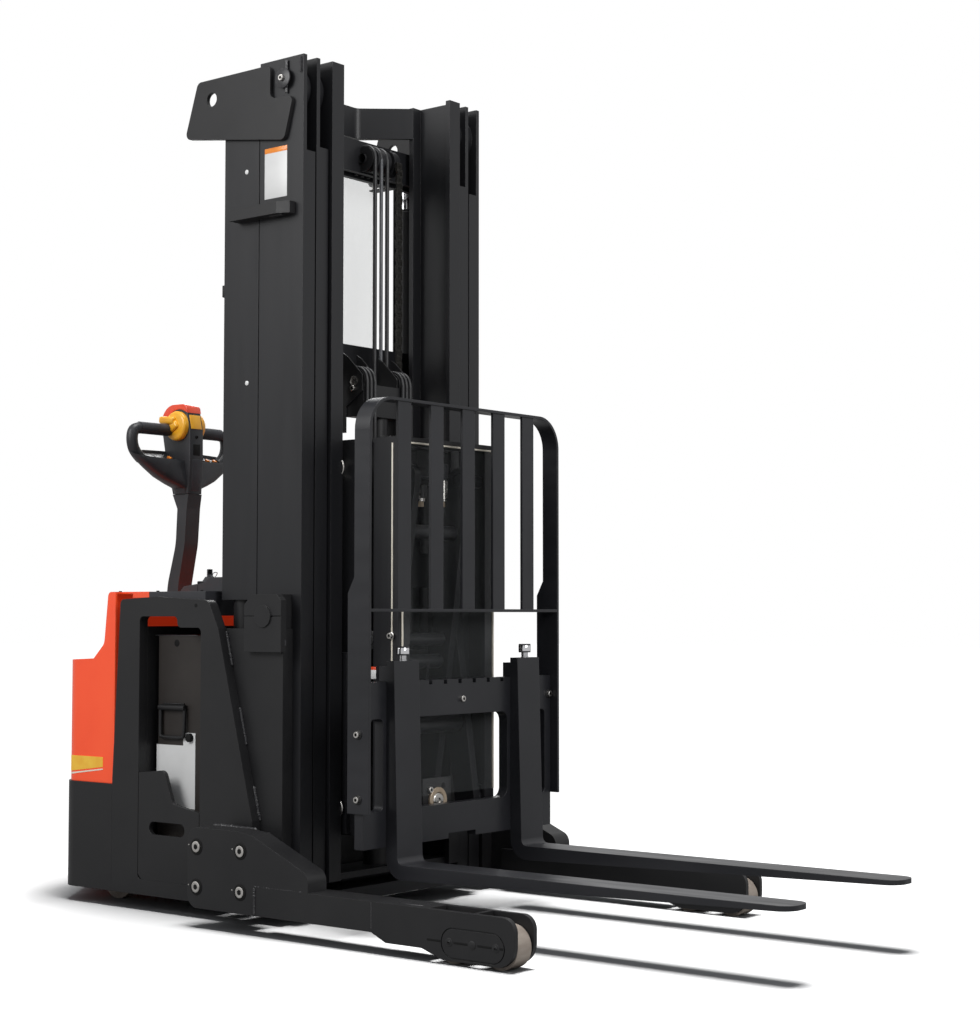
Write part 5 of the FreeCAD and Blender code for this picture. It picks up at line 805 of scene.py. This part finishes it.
grip_way = ((20, grip_height), (120, grip_height), (165, grip_height), (192, 1388), (196, 1362),
            (194, 1340), (184, 1318), (160, 1300))
grips = [pipe([(grip, side * out, height) for out, height in grip_way], 17.5, 22) for side in (RIGHT, LEFT)]
head_form = dress("tiller_head_form", [column, bowl_form()] + grips, handle_plastic, "tiller")
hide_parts("tiller_head")
dress("grip_sleeves", [pipe([(grip, -58, grip_height), (grip, -120, grip_height), (grip, -158, grip_height),
                             (grip, -168, 1393.6)], 18.6, 24)],
      grip_rubber, "tiller", True)
cap_outside = arc(steer - 10, 1420, 55.3, 196, 88, 16) + arc(steer + 27, 1450.5, 24.6, 88, 30, 5)
cap_inside = arc(knob_middle, hub_height, 52.5, 58, 170, 14)
dress("head_cap", [outlined(cap_outside + [(steer + 51.5, 1447)] + cap_inside, "y", -29.4, 29.4, 2.0)],
      belly_plastic, "tiller")
knobs = dress("butterfly_knobs", [
    lathe([(45.8, 0), (45.8, 11), (43.5, 15.5), (38, 17.6), (20, 18.4), (6, 18.6)],
          (knob_middle, -28.3, hub_height), OUTWARD, 48),
    slab((steer - 47.5, -60, 1413.5), (steer + 17.5, -40, 1437), 8, 4, Matrix.Rotation(0.1, 4, "Y")),
    slab((steer - 6, -56, 1392), (steer + 30, -40, 1418), 7, 3, Matrix.Rotation(-0.5, 4, "Y"))],
    knob_plastic, "tiller", True, 50)
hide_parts("travel_knobs")
face_lean, neck_lean = Matrix.Rotation(-0.226, 4, "Y"), Matrix.Rotation(0.058, 4, "Y")
dress("face_panel", [slab((steer + 56.6, -22, 1396), (steer + 59.6, 22, 1441), 1.2, 3, face_lean)],
      knob_plastic, "tiller")
dress("face_screw", [placed(small_screw, [(steer + 63, 0, 1372)], AHEAD)], near_black_and_recess_shade, "tiller")
# A dark block of painted shade, standing for the recess in the column's face.
dress("face_recess_shade", [slab((steer + 60, -15, 1314), (steer + 64.6, 15, 1350), 2.0, 3)],
      near_black_and_recess_shade, "tiller")
dress("neck_panel", [slab((steer + 58.5, -17, 1205), (steer + 62.2, 17, 1303), 1.6, 3, neck_lean)],
      grip_rubber, "tiller")

# The tray's height at the middle of the bowl, and its fall over half of the bowl's length.
tray_height, tray_middle, tray_fall, tray_run = 1306, steer - 5, 16, 37
tray_tilt = Matrix.Rotation(math.atan2(tray_fall, tray_run), 4, "Y")


def on_tray(x, y, low, high, soft, segments=3):
    """A block on the bowl's tilted tray, between two corners measured from a place on it."""
    place = (x, y, tray_height - tray_fall * (x - tray_middle) / tray_run)
    corners = [[start + part for start, part in zip(place, corner)] for corner in (low, high)]
    return slab(*corners, soft, segments, tray_tilt)


pad_line, rocker_line = steer + 2, steer + 8
rockers = (-62, 66, 96, 126)
dress("tray_pads", [on_tray(pad_line, y, (-13, -13, -1.5), (13, 13, 3.5), 1.8) for y in (-132, -102)],
      pad_plastic_and_hose_highlight, "tiller", True)
dress("tray_rockers", [on_tray(rocker_line, y, (-7, -4.5, 0), (9, 4.5, 10), 2.2) for y in rockers],
      switch_plastic, "tiller")
dress("tray_rocker_seats", [on_tray(rocker_line, y, (-12, -9, -1), (12, 9, 2), 1.0, 2) for y in rockers],
      near_black_and_recess_shade, "tiller")


# Mast: leaf chains, hoses, wheels, bolts, screws and the blank labels.

def chain_plate():
    """One plate of a leaf chain, long in Z and thin in Y."""
    shape = bmesh.new()
    made = bmesh.ops.create_circle(shape, cap_ends=True, radius=4.35 * MM, segments=8,
                                   matrix=Matrix.Rotation(math.pi / 2, 4, "X"))
    for point in made["verts"]:
        point.co.z += math.copysign(9.5 * MM, point.co.z)
    made = bmesh.ops.extrude_face_region(shape, geom=shape.faces[:])
    points = [part for part in made["geom"] if isinstance(part, bmesh.types.BMVert)]
    bmesh.ops.translate(shape, verts=points, vec=(0, 2.9 * MM, 0))
    bmesh.ops.recalc_face_normals(shape, faces=shape.faces)
    return keep_mesh(shape, "chain_plate")


chain_middle, chain_pitch = -103.35, 19.0
chain_top, link_count = 2150, 105
first_row, row_pitch, pin_foot = 119.2, 6.1, 119.0
plate = chain_plate()
places = []
for count in range(link_count):
    height = chain_top - 14 - count * chain_pitch
    for row in range(4):
        start = first_row + row * row_pitch + (row_pitch / 2 if count % 2 else 0)
        places.append(Matrix.Translation(spot(chain_middle, start, height)))
pin = turned([(2.2 * MM, 0), (2.2 * MM, 24 * MM)], 6, "pin")
pins = [facing(spot(chain_middle, pin_foot, chain_top - 4.5 - count * chain_pitch), LEFTWARD)
        for count in range(link_count)]
chains = dress("leaf_chains", [repeat(plate, places, "plates"), repeat(pin, pins, "pins")], oiled_steel,
               "mast_middle", True)
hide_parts("mast_chains")
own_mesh(chains)

# The mast's hoses and the crosshead's drop hoses: X of the front run, X and Z of the wheels, lines in Y.
hose_front, wheel_middle, wheel_height = -114.5, -152, 2150
near_line, highlit_hose_line, far_line = 39, 66, 92
drop_front, drop_middle, drop_height = -24.5, -63, 1480
drop_lines = (60, 76, 92)
BEND_STEP = 0.35


def over_wheel(y, front, middle, height, radius, down, thick):
    """A hose bent over a wheel, from its front run to its stub behind, which is given as X and Z."""
    turns = [count * BEND_STEP for count in range(1, 9)]
    bend = [(middle + radius * math.cos(turn), y, height + radius * math.sin(turn)) for turn in turns]
    return pipe([(front, y, height - 1)] + bend + [(x, y, z) for x, z in down], thick, 12, 3)


def run_down(y, front, top, foot, thick):
    """A hose's straight run in front of its wheel."""
    return pipe([(front, y, top), (front, y, foot)], thick, 12, 2)


hose_runs = [run_down(y, hose_front, wheel_height, 560, 6.3) for y in (near_line, far_line)]
mast_hoses = dress("mast_hoses", hose_runs, hose_rubber, "mast_middle", sharp=60)
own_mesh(mast_hoses)
# This hose's pale grey finish is a painted highlight, standing in for the light along it.
hose_painted_highlight = dress("hose_painted_highlight", [run_down(highlit_hose_line, hose_front, wheel_height, 560, 5.5)],
                  pad_plastic_and_hose_highlight, "mast_middle", sharp=60)
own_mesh(hose_painted_highlight)
mast_lines = (near_line, highlit_hose_line, far_line)
dress("hose_bends", [over_wheel(y, hose_front, wheel_middle, wheel_height, 37.5,
                                ((-189.5, 2144), (-189.5, 2108)), 6.3) for y in mast_lines],
      hose_rubber, "mast_middle", sharp=60)
wheel_rim = [(15, 0), (30, 0), (37, 1), (37, 3.4), (31, 4.6), (31, 13.4), (37, 14.6), (37, 17), (30, 18),
             (15, 18)]
dress("hose_wheels", [lathe(wheel_rim, (wheel_middle, y - 9, wheel_height), LEFTWARD, 36, False)
                      for y in mast_lines]
      + [lathe([(14, 0), (14, 92)], (wheel_middle, 22, wheel_height), LEFTWARD, 24)],
      black_paint, "mast_middle")

drop_runs = [run_down(y, drop_front, drop_height, 760, 5.8) for y in drop_lines]
drop_hoses = dress("drop_hoses", drop_runs, hose_rubber, "free_crosshead", True, 60)
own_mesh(drop_hoses)
dress("drop_bends", [over_wheel(y, drop_front, drop_middle, drop_height, 38.5,
                                ((-101.3, 1476), (-101.3, 1452)), 5.2) for y in drop_lines],
      hose_rubber, "free_crosshead", True, 60)
dress("crosshead_bolts", [placed(mid_screw, [(-65, -104, 1459)], OUTWARD),
                          lathe([(13, 0), (13, 3), (12, 3.6)], (drop_middle, -104, drop_height), OUTWARD)],
      bright_steel, "free_crosshead", True)

rail_face = -378.5
label_rear, label_front, label_top = -146, -61, 2084
lug_x, lug_height = -67, 2280
dress("rail_labels", [slab((label_rear, rail_face - 0.6, 1958), (label_front, rail_face - 0.05, label_top),
                           0.2)], plate_white, "chassis", True)
dress("rail_label_bands", [slab((label_rear, rail_face - 0.6, label_top),
                                (label_front, rail_face - 0.05, label_top + 14), 0.2)],
      switch_plastic, "chassis", True)
dress("lug_bolts", [lathe([(28, 0), (28, 2.2), (26.5, 3.2)], (lug_x, -390.5, lug_height), OUTWARD, 36)],
      weld_paint, "chassis", pair=True)
dress("lug_screws", [placed(mid_screw, [(lug_x, -393.7, lug_height)], OUTWARD)], bright_steel, "chassis",
      True)
dress("cover_screws", [lathe([(6.5, 0), (6.5, 1.2), (5, 2.2)], (x, rail_face, z), OUTWARD, 20)
                       for x, z in ((-215.5, 2045), (-210, 1458))],
      plate_white, "chassis", True)
dress("cover_clips", [slab((-318, -372, 1707), (-301, -352, 1741), 2.0)], black_paint, "chassis", pair=True)
dress("side_bar_welds", [weld([(-110, -396, 1906), (-60, -396, 1906)], 4.0),
                         weld([(-60, -384, 2330), (-60, -384, 2240)], 4.0),
                         weld([(-10, -380.5, 2332), (-10, -380.5, 2290)], 3.5)],
      weld_paint, "chassis", pair=True)
dress("guard_screws", [placed(mid_screw, [(-297, y, z) for y in (-236, 0) for z in (1604, 2116)], AHEAD)],
      bright_steel, "chassis", True)
dress("cylinder_collars", [lathe([(33, 0), (33, 18), (30, 20), (30, 26), (24, 28)],
                                 (-252, -338, 2034), UP)], black_paint, "chassis", pair=True)


# Rollers' bright rims in the rail tops.

rim = [(17, 0), (27, 0), (28, 1), (28, 3), (26, 4)]
dress("track_rims", [lathe(rim, (-10, -229, z), OUTWARD, 28, False) for z in (300, 1225)], bright_steel,
      "carriage", True)


# Carriage: valve coils, nuts, plate, cables and the pivot bosses of the arms.

coils = ((50, 52), (90, 102))
nut_foot, coil_foot, coil_top = 1128, 1143, 1202
dress("valve_coils", [lathe([(12.5, coil_foot), (12.5, coil_top), (11, coil_top + 2)], (x, y, 0), UP)
                      for x, y in coils], bright_steel, "carriage")
dress("valve_nuts", [lathe([(9.5, nut_foot), (9.5, coil_foot)], (x, y, 0), UP, 6, False) for x, y in coils],
      bush_bronze, "carriage")
dress("valve_plate", [slab((40, 40, coil_top + 2), (104, 118, 1212), 2.0),
                      slab((78, 90, 1212), (102, 114, 1250), 3.0)],
      handle_plastic, "carriage")
dress("valve_cables", [
    pipe([(60, 60, 1204), (66, 40, 1222), (62, 10, 1190), (60, -2, 1120), (60, -5, 1054)], 3.0, 10),
    pipe([(90, 102, 1250), (80, 90, 1278), (60, 60, 1272), (40, 44, 1240)], 3.0, 10)],
      hose_rubber, "carriage", sharp=60)
dress("pale_cable", [pipe([(60, -5, 1054), (60, -17, 975), (60, -24, 880), (60, -21, 752)], 3.2, 10)],
      pad_plastic_and_hose_highlight, "carriage", sharp=60)
dress("arm_bosses", [lathe([(26, 0), (26, 3.5), (24.5, 4.5), (13, 4.5), (13, 6.5), (11, 7)],
                           (84.5, -193, 754), OUTWARD, 36)], black_paint, "outer_arms", pair=True)


# Reach cylinder: the rod's tail inside the barrel and the gland at its mouth, so that they stay joined.

cylinder_foot, cylinder_lean = (2, 0, 300), (0.197916, 0, 0.980219)
dress("rod_tail", [lathe([(15.4, 6), (15.4, 84)], cylinder_foot, cylinder_lean)], chrome_bar, "reach_rod")
dress("barrel_gland", [lathe([(17.2, 250), (25, 250), (25, 280), (23, 284), (17.2, 284), (17.2, 250)],
                             cylinder_foot, cylinder_lean, 32, False)], black_paint, "reach_barrel")


# Front frame: painted highlights along the shield's edges, screws, hose plate with a dark disc of painted
# shade for its hole, and its nylon ring.

shield_foot, shield_top = 335, 1285
plate_face = 194
ring = (plate_face, -45, 318)
# Cream strips along the clear shield's edges and brow are painted highlights, where its edges catch the
# light.
dress("shield_edge_highlights", [slab((168.6, -207.5, shield_foot), (172.6, -205, shield_top), 0.6)], cream_paint_and_highlight,
      "front_frame", True)
dress("shield_brow_highlight", [slab((193.6, -195, shield_top - 1), (201.2, 195, 1288.4), 0.8)], cream_paint_and_highlight,
      "front_frame")
dress("shield_rim_highlights", [slab((194.8, 193.6, shield_foot), (201.0, 196.2, shield_top), 0.8)], cream_paint_and_highlight,
      "front_frame", True)
dress("shield_screws", [lathe([(10, 0), (10, 2), (9, 2.6)], (170, -208, 766), OUTWARD),
                        placed(mid_screw, [(170, -210.4, 766)], OUTWARD)], bright_steel, "front_frame",
      True)
dress("hose_plate", [slab((186, -105, 265), (plate_face, 15, 380), 2.5)], black_paint, "front_frame")
# The hose plate's hole is a dark disc of painted shade.
dress("hose_plate_hole_shade", [lathe([(8, 0), (8, 0.5), (7, 0.6)], (plate_face, -19, 357), AHEAD)], near_black_and_recess_shade,
      "front_frame")
dress("nylon_ring", [lathe([(36, 0), (36, 5), (34, 7), (24, 7), (22, 5), (22, 1)], ring, AHEAD, 40, False)],
      bush_bronze, "front_frame")
dress("ring_hub", [lathe([(21, 0), (21, 5), (19, 7), (8, 7), (8, 4)], ring, AHEAD, 32),
                   placed(mid_screw, [(plate_face, -77, 349)], AHEAD)],
      bright_steel, "front_frame")


# Fork plate and backrest: screws, washers and lock pins, and the front frame's blank label.

post_x, post_heights = 235, (515, 349)
lock_pin = (259, -263, 0)
tag_rear, tag_front, tag_top = 113, 133, 675
dress("post_screws", [placed(mid_screw, [(post_x, -411.5, z) for z in post_heights], OUTWARD),
                      placed(mid_screw, [(247.5, -392, 595)], AHEAD)],
      bright_steel, "fork_carriage", True)
dress("post_washers", [lathe([(13, 0), (13, 1.5), (12.3, 2)], (post_x, -410, z), OUTWARD)
                       for z in post_heights]
      + [lathe([(13, 0), (13, 1.2), (12.3, 1.6)], (246, -392, 595), AHEAD)],
      black_paint, "fork_carriage", pair=True)
dress("plate_screw", [placed(mid_screw, [(246, -2, 594)], AHEAD)], bright_steel, "fork_carriage")
dress("lock_knobs", [lathe([(9.5, 702), (9.5, 716), (15, 717.5), (17.4, 720), (17.4, 735), (15.5, 739),
                            (7, 740.4)], lock_pin, UP, 32)],
      chrome_bar, "fork_carriage", True)
dress("lock_rings", [lathe([(9.7, 700.5), (10.6, 701), (10.6, 705), (9.7, 705.5)], lock_pin, UP, 24,
                           False)], chrome_bar, "fork_carriage", True)
dress("post_label", [slab((tag_rear, -227.6, 651), (tag_front, -227.1, tag_top), 0.1)],
      plate_white, "front_frame")
dress("post_label_band", [slab((tag_rear, -227.6, tag_top), (tag_front, -227.1, tag_top + 8), 0.1)],
      belly_plastic, "front_frame")
